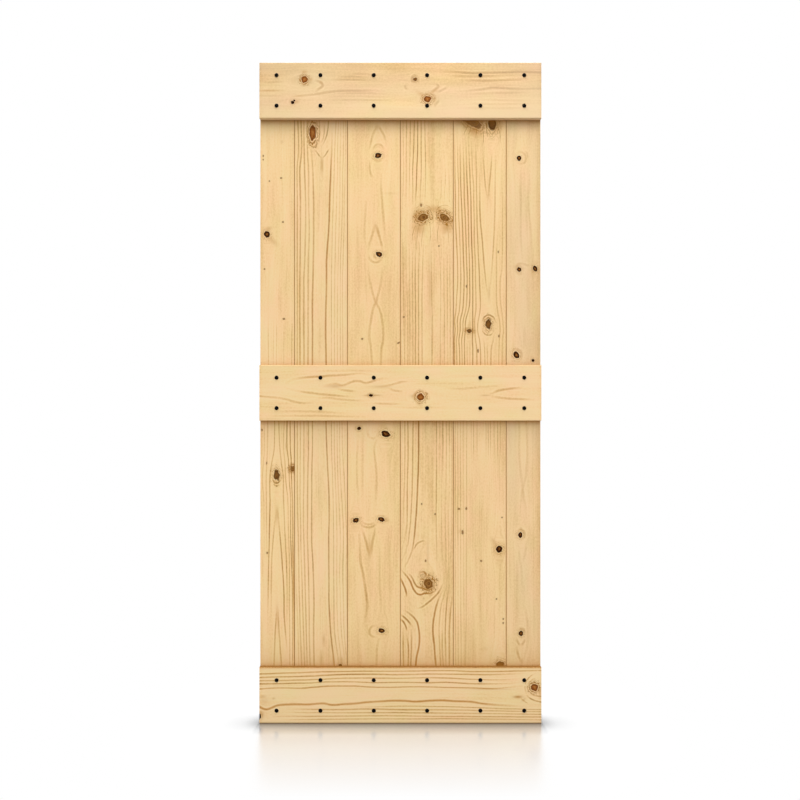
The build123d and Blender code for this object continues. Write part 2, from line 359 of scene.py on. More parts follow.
            (66, 864), (63, 896), (60, 1010)]), (0.24, [(74, 340), (73, 636), (66, 701), (67, 766),
            (71, 799), (77, 864), (74, 896), (72, 1010)]))
        + lines(2.6, 0.1, (0.78, [(8, 836), (14, 821), (28, 813), (44, 820), (51, 836)]),
            (0.6, [(16, 828), (28, 822), (40, 829)]),
            (0.42, [(8, 850), (10, 868), (22, 878), (38, 876), (48, 858)]))
        + lines(1.6, 0.1, (0.41, [(-34, 180), (-42, 204), (-52, 226), (-56, 256)]),
            (0.41, [(-26, 182), (-30, 208), (-38, 232), (-40, 262)]),
            (0.41, [(-10, 204), (-12, 226), (-18, 250)]),
            (0.41, [(4, 196), (10, 214), (12, 240), (8, 270)]),
            (0.41, [(24, 190), (22, 214), (26, 240)]),
            (0.41, [(56, 186), (60, 206), (66, 226), (66, 256)]))
        + side_by_side(1.8, 0.3, [0.26, 0.3, 0.26, 0.3, 0.26, 0.3, 0.26, 0.3, 0.26],
            (1130, [-28, -20, -9, 20, 27, 34, 46, 58, 68]),
            (1290, [-28, -20, -9, 20, 28, 35, 47, 58, 68]))
        + side_by_side(1.8, 0.4, [0.26, 0.22, 0.26, 0.22, 0.26], (1130, [-80, -72, -63, -54, -42]),
            (1700, [-80, -71, -62, -52, -44]), (1980, [-79, -70, -60, -50, -46])),
    ),
    "right_edge_plank": Wood(
        tone=0.05, ring=6.5, heart=(-4, 60), plain=0.12, coarse=0.55, pale=0.3, lean=0.03,
        knots=knots("black", (-14, 303, 14, 16), (-14, 665, 14, 14, 15), (38, 662, 14, 18, -20),
            (-23, 943, 18, 23, -30))
        + knots("hole", (31, 961, 9, 10))
        + knots("black", (-10, 1529, 14, 18), (-8, 1849, 14, 17)),
        streaks=streaks((0.25, -18, 656, 26, 22), (0.2, 34, 676, 22, 30), (0.35, -8, 1508, 8, 10),
            (0.2, -3, 1392, 8, 50), (0.3, -5, 1940, 8, 24), (0.12, 46, 1000, 14, 1900)),
        lines=lines(4.2, 0.1,
            (0.31, [(-26, 288), (-14, 282), (0, 286), (8, 300), (5, 316), (-8, 322), (-22, 318)]),
            (0.23, [(4, 278), (13, 292), (12, 310)]),
            (0.23, [(15, 320), (17, 380), (15, 440), (22, 520), (26, 590), (31, 650)]),
            (0.2, [(-7, 330), (-10, 400), (-8, 450), (-9, 560), (-2, 640)]),
            (0.2, [(10, 420), (11, 500), (12, 570)]),
            (0.27, [(-26, 655), (-14, 646), (2, 648), (14, 652), (26, 650)]),
            (0.23, [(-24, 676), (-12, 682), (0, 676)]), (0.2, [(1, 840), (4, 900), (3, 930)]),
            (0.27, [(-36, 928), (-24, 922), (-10, 930), (-6, 945), (-14, 960)]),
            (0.2, [(9, 1140), (12, 1250), (9, 1330), (-2, 1376), (-8, 1420), (-14, 1500)]),
            (0.23, [(-14, 1140), (-12, 1280), (-3, 1376), (6, 1430), (14, 1500)]),
            (0.31, [(-20, 1520), (-14, 1512), (-2, 1514), (4, 1526), (0, 1546)]),
            (0.2, [(-16, 1555), (-12, 1600), (-6, 1650), (-4, 1720)]),
            (0.2, [(10, 1550), (6, 1590), (-2, 1620)]), (0.15, [(-22, 1600), (-20, 1700), (-22, 1820)]),
            (0.23, [(2, 1750), (11, 1800), (14, 1850), (12, 1890), (7, 1912), (2, 1932), (-6, 1948)]),
            (0.27, [(-18, 1838), (-12, 1834), (2, 1836), (4, 1850)]))
        + lines(4.2, 0.2, (0.38, [(-24, 1866), (-16, 1880), (-8, 1891)]),
            (0.38, [(7, 1866), (0, 1880), (-8, 1891)]),
            (0.38, [(-22, 1892), (-19, 1912), (-12, 1932), (-6, 1948)])),
    ),
    "top_rail": Wood(
        tone=0.18, ring=7.0, heart=(0, 60), plain=0.15, coarse=0.5, pale=0.45, lean=0.24,
        knots=knots("amber", (35, -310, 20, 20))
        + knots("hole", (-39, -348, 10, 11, 30), (-33, -343, 6, 7))
        + knots("brown", (36, 48, 11, 12))
        + knots("amber", (-28, 88, 20, 22)),
        streaks=streaks((0.6, -1, -422, 5, 74), (0.4, -36, -334, 14, 16), (0.3, -18, -330, 5, 50, -6),
            (0.45, 60, -310, 8, 18), (0.45, 36, -288, 14, 8), (0.35, 26, -255, 12, 8, -20),
            (0.15, 32, -345, 26, 24), (0.35, -14, 68, 12, 44, 35), (0.35, -2, 108, 12, 40, -35),
            (0.35, -30, 110, 30, 14)),
        lines=lines(4.2, 0.5, (0.47, [(34, -280), (28, -262), (16, -250), (6, -262), (-5, -277)]))
        + lines(4.2, 0.3, (0.38, [(-20, -362), (-18, -320), (-14, -290), (-10, -260), (-6, -235),
            (-2, -200), (-1, -150), (-1, -50)]))
        + lines(4.2, 0.1, (0.28, [(34, -235), (35, -150), (32, -90)]),
            (0.28, [(42, -215), (44, -150), (41, -90)]), (0.24, [(52, -180), (53, -120), (50, -60)]),
            (0.28, [(-10, -210), (-9, -120), (-10, -40)]),
            (0.24, [(-20, -270), (-19, -150), (-22, -30)]),
            (0.19, [(-30, -230), (-30, -120), (-33, -20)]), (0.24, [(26, -450), (27, -400), (30, -370)]),
            (0.19, [(-18, -455), (-19, -400), (-19, -365)]), (0.28, [(48, 145), (45, 230), (47, 340)]),
            (0.38, [(32, 190), (31, 250), (31, 290), (34, 340), (38, 440)]),
            (0.38, [(-4, 175), (-1, 220), (3, 260), (8, 300), (5, 380), (6, 456)]),
            (0.24, [(-12, 190), (-9, 300), (-7, 430)]), (0.24, [(-30, 250), (-32, 330), (-33, 440)]),
            (0.19, [(-42, 200), (-44, 300), (-43, 430)]), (0.19, [(-56, 150), (-58, 300), (-57, 440)]),
            (0.38, [(20, 22), (14, 15), (7, 18), (4, 28)]),
            (0.43, [(22, 112), (13, 123), (5, 114), (-6, 100)]),
            (0.38, [(15, 156), (8, 148), (2, 135), (-8, 116)]),
            (0.33, [(52, 56), (46, 40), (34, 36), (24, 44)]))
        + lines(4.2, 0.2, (0.38, [(58, 122), (60, 165), (56, 230), (57, 300), (60, 380), (58, 456)]),
            (0.43, [(-54, 108), (-42, 117), (-30, 127)])),
    ),
    "middle_rail": Wood(
        tone=-0.13, ring=7.0, heart=(0, 60), plain=0.12, coarse=0.5, pale=0.03, lean=0.0,
        knots=knots("hole", (-8, -95, 9, 13))
        + knots("amber", (-13, 65, 22, 22)),
        streaks=streaks((0.7, -8, -104, 4, 34), (0.7, -8, -78, 5, 34), (0.4, 22, -212, 15, 62),
            (0.3, 20, -62, 11, 70), (0.3, -10, 40, 14, 22), (0.35, -34, 62, 16, 16),
            (0.5, -8, 274, 5, 34)),
        lines=lines(4.2, 0.2, (0.43, [(20, -378), (34, -365), (44, -345), (50, -300), (53, -250),
            (56, -220), (60, -160), (63, -130), (60, -110), (57, -80)]), (0.43, [(20, -380), (12, -360),
            (6, -330), (0, -290), (-5, -250), (-8, -210), (-12, -170), (-14, -140)]), (0.47, [(18, -256),
            (28, -226), (30, -206), (24, -190), (30, -170), (38, -150), (38, -130), (32, -115),
            (36, -95), (44, -70), (48, -30)]), (0.43, [(13, -206), (8, -180), (6, -160), (5, -140)]),
            (0.38, [(-10, -455), (-14, -420), (-20, -370), (-28, -345), (-33, -310), (-28, -280)]),
            (0.43, [(-8, 280), (0, 300), (8, 320), (14, 360), (18, 400)]),
            (0.43, [(-8, 280), (-14, 310), (-18, 340), (-21, 390), (-23, 450)]),
            (0.33, [(4, 78), (-4, 84), (-14, 86), (-26, 82)]),
            (0.33, [(10, 62), (2, 50), (-12, 44), (-26, 50), (-38, 58)]))
        + lines(4.2, 0.3, (0.38, [(20, -64), (26, -30), (34, 0), (38, 30)]),
            (0.33, [(16, -42), (8, -20), (3, 10)]), (0.24, [(-62, -440), (-60, -300), (-66, -150)]),
            (0.24, [(-76, -440), (-74, -300), (-78, -100)]))
        + lines(4.2, 0.1, (0.38, [(-20, -280), (-16, -240), (-20, -200), (-24, -150), (-25, -90)]),
            (0.33, [(-31, -95), (-35, -60), (-36, 10)]), (0.24, [(-44, -60), (-47, 40), (-46, 160)]),
            (0.24, [(68, -300), (72, -200), (70, -60)]),
            (0.24, [(15, 130), (13, 200), (17, 240), (22, 300), (24, 350)]),
            (0.19, [(30, 20), (31, 120), (30, 250)]), (0.19, [(52, 120), (54, 260), (53, 420)])),
    ),
    "bottom_rail": Wood(
        tone=-0.15, ring=5.0, heart=(0, 40), plain=0.12, coarse=1.0, pale=0.02, lean=0.0,
        knots=knots("amber", (26, 433, 22, 23))
        + knots("hole", (-68, -456, 18, 12)),
        streaks=streaks((0.95, -5, 380, 9, 32), (0.4, -14, 398, 8, 18, -40), (0.4, -4, -445, 10, 26),
            (0.35, -10, -410, 9, 12), (0.2, -18, -440, 30, 40), (0.35, -62, -448, 24, 20),
            (0.35, 20, 290, 6, 150), (0.35, -17, 130, 6, 120), (0.4, 10, 450, 30, 10)),
        lines=lines(2.6, 0.8, (0.68, [(20, -456), (23, -420), (24, -380), (23, -320), (26, -280),
            (30, -230), (30, -150), (27, -100), (26, -40), (27, 0), (28, 50), (27, 100), (25, 170),
            (24, 230), (22, 300), (25, 340), (30, 390), (33, 412)]))
        + lines(3.8, 1.2, (0.68, [(-37, -456), (-45, -435), (-40, -415), (-32, -395), (-29, -350),
            (-29, -300), (-26, -260), (-27, -240), (-31, -220), (-28, -180), (-26, -140), (-22, -110),
            (-19, -60), (-17, -20), (-18, 20), (-20, 50), (-17, 100), (-16, 130), (-19, 180), (-21, 230),
            (-26, 260), (-30, 300), (-33, 350), (-36, 410)]))
        + lines(2.6, 0.2, (0.75, [(37, -456), (39, -350), (40, -290), (43, -250), (44, -200), (43, -130),
            (41, -80), (42, 0), (41, 100), (42, 150), (38, 230), (38, 350), (44, 400)]),
            (0.55, [(-55, -400), (-56, -200), (-56, 0), (-58, 200), (-61, 456)]),
            (0.6, [(74, 440), (60, 418), (44, 406), (26, 402), (8, 406), (-2, 412)]))
        + lines(2.6, 0.3, (0.65, [(47, -456), (50, -300), (55, -200), (56, -130), (55, 0), (57, 80),
            (56, 150), (52, 230), (50, 330), (54, 395)]),
            (0.55, [(-79, -390), (-77, -250), (-76, 0), (-76, 200), (-79, 456)]),
            (0.5, [(56, 440), (48, 422), (36, 412), (22, 410), (8, 416)]),
            (0.7, [(2, 406), (-8, 417), (-16, 432), (-22, 456)]),
            (0.55, [(-8, 388), (-18, 399), (-27, 414)]),
            (0.45, [(12, 416), (2, 428), (-2, 442), (-4, 456)]))
        + lines(2.6, 0.4, (0.65, [(58, -456), (62, -300), (67, -200), (68, -100), (67, 0), (69, 100),
            (68, 200), (67, 300), (72, 420)]))
        + lines(2.6, 0.6,
            (0.6, [(69, -456), (76, -250), (78, -100), (78, 0), (80, 150), (77, 260), (80, 456)]))
        + lines(2.6, 0.1,
            (0.5, [(-36, -190), (-37, -100), (-35, 0), (-36, 100), (-38, 200), (-42, 300), (-46, 456)]))
        + lines(2.6, 0.5, (0.6, [(-45, -395), (-45, -330), (-46, -200), (-44, -100), (-46, 0),
            (-47, 150), (-50, 300), (-53, 456)]), (0.55, [(-82, -445), (-74, -420), (-68, -390),
            (-68, -300), (-66, -100), (-66, 0), (-68, 150), (-70, 456)])),
    ),
}

SEEDS = {name: number for number, name in enumerate(BOARDS)}

# A face further than this from a knot, in knot radii, carries none
NO_KNOT = 6.0

# Grain led around a knot: its reach in knot widths, its stretch along the grain, and its fading in reaches
LEAD_REACH = 0.85
LEAD_STRETCH = 2.2
LEAD_FADE = 5.0

# Growth lines: how finely their paths are drawn, how long their ends fade, how far off one still shows
PATH_STEP = 6.0
PATH_CHUNK = 12
FADE_LENGTH = 150.0
FADE_SHARE = 0.3
LINE_REACH = 7.0
FAINTEST_LINE = 0.01
FAR_OFF = 1000.0

# Layers of smooth noise: strength, length along and width across the grain in millimetres, and seed
WANDER_LAYERS = [(0.5, 260, 45, 0), (0.12, 70, 16, 50)]
TONE_LAYERS = [(0.06, 240, 50, 100), (0.05, 70, 24, 150)]
HUE_LAYERS = [(0.35, 90, 38, 200), (0.25, 40, 18, 250)]
PALE_LAYERS = [(0.5, 150, 40, 300)]
NOISE_TABLE_SIZE = 64

STREAK_FADE = 1.3
EDGE_PAINTED_SHADE = 0.16
EDGE_PAINTED_SHADE_REACH = 8.0
MIDDLE_HUE = 0.5
FRONT_DEPTH = 3.0
SIDE_RING_STRENGTH = 0.6
BOARD_NOISE_STEP = 7.0
KNOT_NOISE_STEP = 1.7


# Smooth fields over a board

def value_noise(x, y, seed):
    """Smooth noise between -1 and 1, one random value at each whole-number point."""
    size = NOISE_TABLE_SIZE
    table = np.random.default_rng(seed).uniform(-1.0, 1.0, (size, size))
    column = np.floor(x).astype(int)
    row = np.floor(y).astype(int)
    fx = x - column
    fy = y - row
    fx = fx * fx * (3 - 2 * fx)
    fy = fy * fy * (3 - 2 * fy)

    def between_columns(line):
        return table[line % size, column % size] * (1 - fx) + table[line % size, (column + 1) % size] * fx

    return between_columns(row) * (1 - fy) + between_columns(row + 1) * fy


def layered_noise(layers, across, along, seed):
    """Sum of noises drawn out along the grain."""
    return sum(
        strength * value_noise(along / length, across / width, seed + number)
        for strength, length, width, number in layers
    )


def turned(mark, across, along):
    """Coordinates about a knot or streak, 1 at its rim."""
    tilt = math.radians(mark.tilt)
    side = across - mark.across
    down = along - mark.along
    u = (side * math.cos(tilt) + down * math.sin(tilt)) / (mark.width / 2)
    v = (down * math.cos(tilt) - side * math.sin(tilt)) / (mark.length / 2)
    return u, v


def grain_field(wood, across, along, depth, seed):
    """Place of each point in the log, in ring widths from the heart, with the grain led around the knots."""
    led = across.copy()
    for knot in wood.knots:
        if KNOT_KINDS[knot.kind].eye == 0:
            continue
        reach = LEAD_REACH * knot.width
        side = across - knot.across
        stretch = LEAD_STRETCH * max(1.0, knot.length / knot.width)
        radius = np.maximum(np.hypot(side, (along - knot.along) / stretch), 1e-6)
        share = np.minimum(1.0, (reach / radius) ** 2) * np.exp(-(radius / (LEAD_FADE * reach)) ** 2)
        led -= side * share
    wander = layered_noise(WANDER_LAYERS, across, along, seed)
    side = led / wood.ring + wander - wood.heart[0] / wood.ring
    back = (depth + wood.heart[1]) / wood.ring
    return np.column_stack([side, back, along])


def mark_field(wood, across, along, depth, edge_gap, seed):
    """Streaks, broad tone with painted shade near the edges, and background ring strength at each point."""
    streak = np.zeros_like(across)
    for mark in wood.streaks:
        u, v = turned(mark, across, along)
        streak = np.maximum(streak, mark.strength * np.exp(-STREAK_FADE * (u * u + v * v)))
    tone = wood.tone + layered_noise(TONE_LAYERS, across, along, seed)
    # Painted shade near the door's left and right edges and the rails' ends
    tone += EDGE_PAINTED_SHADE * np.exp(-(edge_gap / EDGE_PAINTED_SHADE_REACH) ** 2)
    # Painted shade, darker towards the board's right or upper edge
    tone += wood.lean * across / np.abs(across).max()
    strength = np.where(depth > FRONT_DEPTH, SIDE_RING_STRENGTH, wood.plain)
    return np.column_stack([streak, tone, strength])


def finish_field(wood, across, along, seed):
    """Bleaching, fibre strength and hue at each point; the hue runs from yellow at 0 to pink at 1."""
    hue = MIDDLE_HUE + layered_noise(HUE_LAYERS, across, along, seed)
    pale = wood.pale * (1 + layered_noise(PALE_LAYERS, across, along, seed))
    return np.column_stack([pale, np.full_like(hue, wood.coarse), np.clip(hue, 0, 1)])


def knot_fields(wood, across, along, faces, seed):
    """For each face corner, coordinates about the nearest knot and that knot's look."""
    corner_across = across[faces]
    corner_along = along[faces]
    middle_across = corner_across.mean(1)
    middle_along = corner_along.mean(1)
    nearest = np.full(len(faces), NO_KNOT)
    local = np.full(faces.shape + (3,), NO_KNOT)
    local[..., 2] = 0.0
    look = np.zeros(faces.shape + (3,))
    eye = np.zeros(faces.shape)
    for number, knot in enumerate(wood.knots):
        radius = np.hypot(*turned(knot, middle_across, middle_along))
        mine = radius < nearest
        nearest[mine] = radius[mine]
        u, v = turned(knot, corner_across[mine], corner_along[mine])
        local[mine, :, 0] = u
        local[mine, :, 1] = v
        local[mine, :, 2] = BOARD_NOISE_STEP * seed + KNOT_NOISE_STEP * number
        kind = KNOT_KINDS[knot.kind]
        look[mine] = (kind.cover, kind.halo, kind.tint)
        eye[mine] = kind.eye
    return local.reshape(-1, 3), look.reshape(-1, 3), eye.reshape(-1)


def smooth_path(places):
    """A finely stepped smooth curve through the places."""
    places = np.array(places, dtype=float)
    padded = np.vstack([2 * places[0] - places[1], places, 2 * places[-1] - places[-2]])
    pieces = []
    for before, start, end, after in zip(padded, padded[1:], padded[2:], padded[3:]):
        count = max(2, math.ceil(np.hypot(*(end - start)) / PATH_STEP))
        t = np.linspace(0, 1, count, endpoint=False)[:, None]
        cubic = 3 * (start - end) + after - before
        square = 2 * before - 5 * start + 4 * end - after
        pieces.append(start + t / 2 * (end - before + t * (square + t * cubic)))
    return np.vstack(pieces + [places[-1:]])


def path_offsets(path, points):
    """Signed distance of each point from a path, and the length along the path where it is nearest."""
    offset = np.full(len(points), FAR_OFF)
    length = np.zeros(len(points))
    steps = np.hypot(*np.diff(path, axis=0).T)
    reached = np.concatenate([[0.0], np.cumsum(steps)])
    for first in range(0, len(path) - 1, PATH_CHUNK):
        chunk = path[first:first + PATH_CHUNK + 1]
        low = chunk.min(0) - LINE_REACH
        high = chunk.max(0) + LINE_REACH
        near = np.flatnonzero(np.all((points > low) & (points < high), axis=1))
        if len(near) == 0:
            continue
        start = chunk[:-1]
        run = np.diff(chunk, axis=0)
        size = np.hypot(*run.T)
        away = points[near][:, None, :] - start
        part = np.clip((away * run).sum(-1) / size ** 2, 0, 1)
        gap = np.hypot(*np.moveaxis(away - part[..., None] * run, -1, 0))
        nearest = gap.argmin(1)
        row = np.arange(len(near))
        turn = run[nearest, 1] * away[row, nearest, 0] - run[nearest, 0] * away[row, nearest, 1]
        found = np.copysign(gap[row, nearest], turn)
        better = np.abs(found) < np.abs(offset[near])
        offset[near[better]] = found[better]
        place = reached[first + nearest] + part[row, nearest] * size[nearest]
        length[near[better]] = place[better]
    return offset, length, reached[-1]


def end_fade(length, total, hidden_start, hidden_end):
    """1 along a growth line, falling to 0 towards the ends that show."""
    reach = min(FADE_LENGTH, FADE_SHARE * total)
    fade = np.ones_like(length)
    if not hidden_start:
        fade = np.minimum(fade, length / reach)
    if not hidden_end:
        fade = np.minimum(fade, (total - length) / reach)
    return np.clip(fade, 0, 1)


def line_fields(wood, across, along, faces, hidden):
    """For each face corner: how far the face's plainest growth line is, its strength and its warmth."""
    points = np.column_stack([across, along])
    plainest = np.full(len(faces), FAINTEST_LINE)
    data = np.zeros(faces.shape + (3,))
    data[..., 0] = LINE_REACH
    for line in wood.lines:
        offset, length, total = path_offsets(smooth_path(line.places), points)
        fade = end_fade(length, total, hidden(line.places[0][1]), hidden(line.places[-1][1]))
        corner = offset[faces]
        crossed = corner.min(1) * corner.max(1) < 0
        gap = np.where(crossed, 0.0, np.abs(corner).min(1))
        plain = line.strength * np.exp(-(gap / line.half) ** 2)
        mine = (plain > plainest) & (np.abs(corner).max(1) < 3 * LINE_REACH)
        plainest[mine] = plain[mine]
        data[mine, :, 0] = corner[mine] / line.half
        data[mine, :, 1] = line.strength * fade[faces][mine]
        data[mine, :, 2] = line.warm
    return data.reshape(-1, 3)


# Board meshes

def spaced(start, end, step):
    """Evenly spaced values from start to end, no further apart than step."""
    count = max(1, math.ceil(abs(end - start) / step))
    return np.linspace(start, end, count + 1)


def arc(centre, radius, first, last):
    """Points of a rounded corner, between two angles in degrees."""
    turns = np.radians(np.linspace(first, last, ROUND_STEPS + 1))
    return [(centre[0] + radius * math.cos(a), centre[1] + radius * math.sin(a)) for a in turns]


def tongue_side(right):
    """Right side of a plank, from its front to its back, with bevels and a tongue."""
    middle = (PLANK_FRONT + PLANK_BACK) / 2
    half = TONGUE_THICKNESS / 2
    return [
        (right, PLANK_FRONT + FRONT_V_BEVEL),
        (right, middle - half),
        (right + TONGUE_LENGTH, middle - half),
        (right + TONGUE_LENGTH, middle + half),
        (right, middle + half),
        (right, PLANK_BACK - BACK_V_BEVEL),
    ]


def groove_side(left):
    """Left side of a plank, from its back to its front, with bevels and a groove."""
    middle = (PLANK_FRONT + PLANK_BACK) / 2
    half = GROOVE_WIDTH / 2
    return [
        (left, PLANK_BACK - BACK_V_BEVEL),
        (left, middle + half),
        (left + GROOVE_DEPTH, middle + half),
        (left + GROOVE_DEPTH, middle - half),
        (left, middle - half),
        (left, PLANK_FRONT + FRONT_V_BEVEL),
    ]


def plank_section(name, left, right):
    """Section of a plank as (across, depth) points, counterclockwise from the front's left end."""
    first = name == PLANKS[0]
    last = name == PLANKS[-1]
    front_left = left + (EDGE_ROUND if first else FRONT_V_BEVEL)
    front_right = right - (EDGE_ROUND if last else FRONT_V_BEVEL)
    back_left = left + (EDGE_ROUND if first else BACK_V_BEVEL)
    back_right = right - (EDGE_ROUND if last else BACK_V_BEVEL)
    points = [(x, PLANK_FRONT) for x in spaced(front_left, front_right, FRONT_STEP)]
    if last:
        points += arc((front_right, PLANK_FRONT + EDGE_ROUND), EDGE_ROUND, -90, 0)[1:]
        points += arc((back_right, PLANK_BACK - EDGE_ROUND), EDGE_ROUND, 0, 90)[:-1]
    else:
        points += tongue_side(right)
    points += [(x, PLANK_BACK) for x in spaced(back_right, back_left, BACK_STEP)]
    if first:
        points += arc((back_left, PLANK_BACK - EDGE_ROUND), EDGE_ROUND, 90, 180)[1:]
        points += arc((front_left, PLANK_FRONT + EDGE_ROUND), EDGE_ROUND, 180, 270)[:-1]
    else:
        points += groove_side(left)
    return points


def rail_section(low, high, front, back):
    """Section of a rail as (height, depth) points, its front corners rounded."""
    points = [(z, front) for z in spaced(low + EDGE_ROUND, high - EDGE_ROUND, FRONT_STEP)]
    points += arc((high - EDGE_ROUND, front + EDGE_ROUND), EDGE_ROUND, -90, 0)[1:]
    points += [(z, back) for z in spaced(high, low, BACK_STEP)]
    points += arc((low + EDGE_ROUND, front + EDGE_ROUND), EDGE_ROUND, 180, 270)[:-1]
    return points


def rounded_stations(start, end):
    """Stations along a rail, with its rounded ends: (place, how far the front is set back) pairs."""
    turns = np.radians(np.linspace(0, 90, ROUND_STEPS + 1))
    inner = spaced(start + EDGE_ROUND, end - EDGE_ROUND, ALONG_STEP)
    stations = [(x, 0.0) for x in inner]
    for turn in turns[1:]:
        out = EDGE_ROUND * math.sin(turn)
        set_back = EDGE_ROUND * (1 - math.cos(turn))
        stations.insert(0, (inner[0] - out, set_back))
        stations.append((inner[-1] + out, set_back))
    return stations


def bake_map(mesh, loop, stations):
    """A texture map that unrolls the board, with its two ends side by side above."""
    ends_share = 0.04
    end_size = (0.48, 0.8 * ends_share)
    end_corner = (0.01, 1 - 0.9 * ends_share)
    next_end = (0.5, 0.0)
    loop = np.array(loop)
    lengths = np.hypot(*(np.roll(loop, -1, 0) - loop).T)
    u = np.concatenate([[0.0], np.cumsum(lengths)]) / lengths.sum()
    v = (np.array(stations) - stations[0]) / (stations[-1] - stations[0]) * (1 - ends_share)
    count = len(loop)
    corners = []
    for row in range(len(stations) - 1):
        strip = np.empty((count, 4, 2))
        strip[:, 0] = np.column_stack([u[:-1], np.full(count, v[row])])
        strip[:, 1] = np.column_stack([u[:-1], np.full(count, v[row + 1])])
        strip[:, 2] = np.column_stack([u[1:], np.full(count, v[row + 1])])
        strip[:, 3] = np.column_stack([u[1:], np.full(count, v[row])])
        corners.append(strip.reshape(-1, 2))
    low = loop.min(0)
    spread = loop.max(0) - low
    end = (loop - low) / spread * end_size + end_corner
    corners.append(end)
    corners.append(end[::-1] + next_end)
    layer = mesh.uv_layers.new(name="OFBake")
    layer.data.foreach_set("uv", np.concatenate(corners).ravel())


def board_mesh(name, loop, stations, set_backs, place, centre, front, edge_gap, painted_shade, hidden):
    """A board swept from its section, carrying the wood's fields."""
    wood = BOARDS[name]
    seed = SEEDS[name] + 1
    loop_points = np.array(loop)
    count = len(loop)
    across = np.tile(loop_points[:, 0], len(stations))
    depth = np.tile(loop_points[:, 1], len(stations))
    along = np.repeat(np.array(stations), count)
    depth = np.maximum(depth, front + np.repeat(np.array(set_backs), count))

    row = np.arange(len(stations) - 1)[:, None] * count
    here = np.arange(count)[None, :]
    after = (here + 1) % count
    quads = np.stack([row + here, row + count + here, row + count + after, row + after], axis=-1)
    quads = quads.reshape(-1, 4)
    first_end = list(range(count))
    last_end = list(range(len(along) - 1, len(along) - 1 - count, -1))

    mesh = bpy.data.meshes.new(f"{name}_board")
    mesh.from_pydata(place(across, depth, along) * MM, [], quads.tolist() + [first_end, last_end])
    bake_map(mesh, loop, stations)

    local = across - centre
    behind = depth - front
    gap = edge_gap(local, along)
    add_vectors(mesh, "grain", "POINT", grain_field(wood, local, along, behind, seed))
    add_vectors(mesh, "marks", "POINT", mark_field(wood, local, along, behind, gap, seed))
    add_vectors(mesh, "finish", "POINT", finish_field(wood, local, along, seed))
    # Painted shade at each point: under and over the rails, in the joints, on the end grain and at the
    # rails' ledges, undersides and rims
    add_values(mesh, "painted_shade", "POINT", painted_shade(local, along, behind))
    ends = 2 * count
    knot, look, eye = knot_fields(wood, local, along, quads, seed)
    nearby_line = line_fields(wood, local, along, quads, hidden)
    no_knot = np.tile([NO_KNOT, NO_KNOT, 0.0], (ends, 1))
    no_line = np.tile([LINE_REACH, 0.0, 0.0], (ends, 1))
    add_vectors(mesh, "knot", "CORNER", np.concatenate([knot, no_knot]))
    add_vectors(mesh, "knot_look", "CORNER", np.concatenate([look, np.zeros((ends, 3))]))
    add_values(mesh, "knot_eye", "CORNER", np.concatenate([eye, np.zeros(ends)]))
    add_vectors(mesh, "lines", "CORNER", np.concatenate([nearby_line, no_line]))

    mesh.shade_smooth()
    mesh.set_sharp_from_angle(angle=BOARD_SHARP_ANGLE)
    return mesh


def add_vectors(mesh, name, domain, values):
    """Stores one vector at each point or corner."""
    attribute = mesh.attributes.new(name, "FLOAT_VECTOR", domain)
    attribute.data.foreach_set("vector", np.ascontiguousarray(values, dtype=np.float32).ravel())


def add_values(mesh, name, domain, values):
    """Stores one number at each point or corner."""
    attribute = mesh.attributes.new(name, "FLOAT", domain)
    attribute.data.foreach_set("value", np.ascontiguousarray(values, dtype=np.float32))


def add_piece(name, mesh, material, node):
    """Puts a piece in the scene in place of a CAD node."""
    piece = bpy.data.objects.new(name, mesh)
    bpy.context.scene.collection.objects.link(piece)
    mesh.materials.append(material)
    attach(piece, "root")
    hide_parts(node)
    return piece


def node_box(node):
    """Lowest and highest corners of a CAD node, in millimetres."""
    low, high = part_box(node)
    return np.array(low) / MM, np.array(high) / MM


# Painted shade, darkening the wood's colour where shade falls: how dark it is where it starts, and how many
# millimetres it takes to fade.
# On a rail's ledge: how dark the painted shade is, and how sharply it sets in over the rounded edge.
UNDER_RAIL_PAINTED_SHADOW = (0.88, 7.5)
OVER_RAIL_PAINTED_SHADE = {"top_rail": (0.0, 5.0), "middle_rail": (0.25, 2.5), "bottom_rail": (0.2, 3.5)}
FOOT_PAINTED_SHADE = (0.38, 46.0)
JOINT_PAINTED_SHADE = 0.88
JOINT_EDGE_PAINTED_SHADE = 0.1
END_GRAIN_PAINTED_SHADE = 0.45
END_SKIN = 0.6
JOINT_MARGIN = 0.5
BEVEL_MARGIN = 0.1
LEDGE_PAINTED_SHADE = {"top_rail": (0.5, 2.0), "middle_rail": (0.9, 4.0), "bottom_rail": (0.94, 0.7)}
UNDERSIDE_PAINTED_SHADE = {"top_rail": 0.15, "middle_rail": 0.15, "bottom_rail": 0.7}
RAIL_RIM_PAINTED_SHADE = {"top_rail": (0.0, 1.0), "middle_rail": (0.0, 1.0), "bottom_rail": (0.9, 2.0)}


def rail_spans():
    """Where each rail starts and ends on the planks, down from the top."""
    spans = {}
    for name in RAILS:
        low, high = node_box(name)
        spans[name] = (-high[2], -low[2])
    return spans


def fading(gap, level):
    """Painted shade that fades with the gap, on the gap's positive side."""
    dark, reach = level
    return np.where(gap >= 0, dark * np.exp(-np.maximum(gap, 0) / reach), 0.0)


def plank_stations(spans, end):
    """Stations down a plank, close together where it shows and apart behind the rails."""
    stations = [0.0, END_SKIN]
    for top, bottom in spans.values():
        if top > stations[-1]:
            stations += list(spaced(stations[-1], top, ALONG_STEP)[1:])
        stations += list(spaced(top, min(bottom, end), HIDDEN_STEP)[1:])
    stations.insert(-1, end - END_SKIN)
    return np.array(stations)


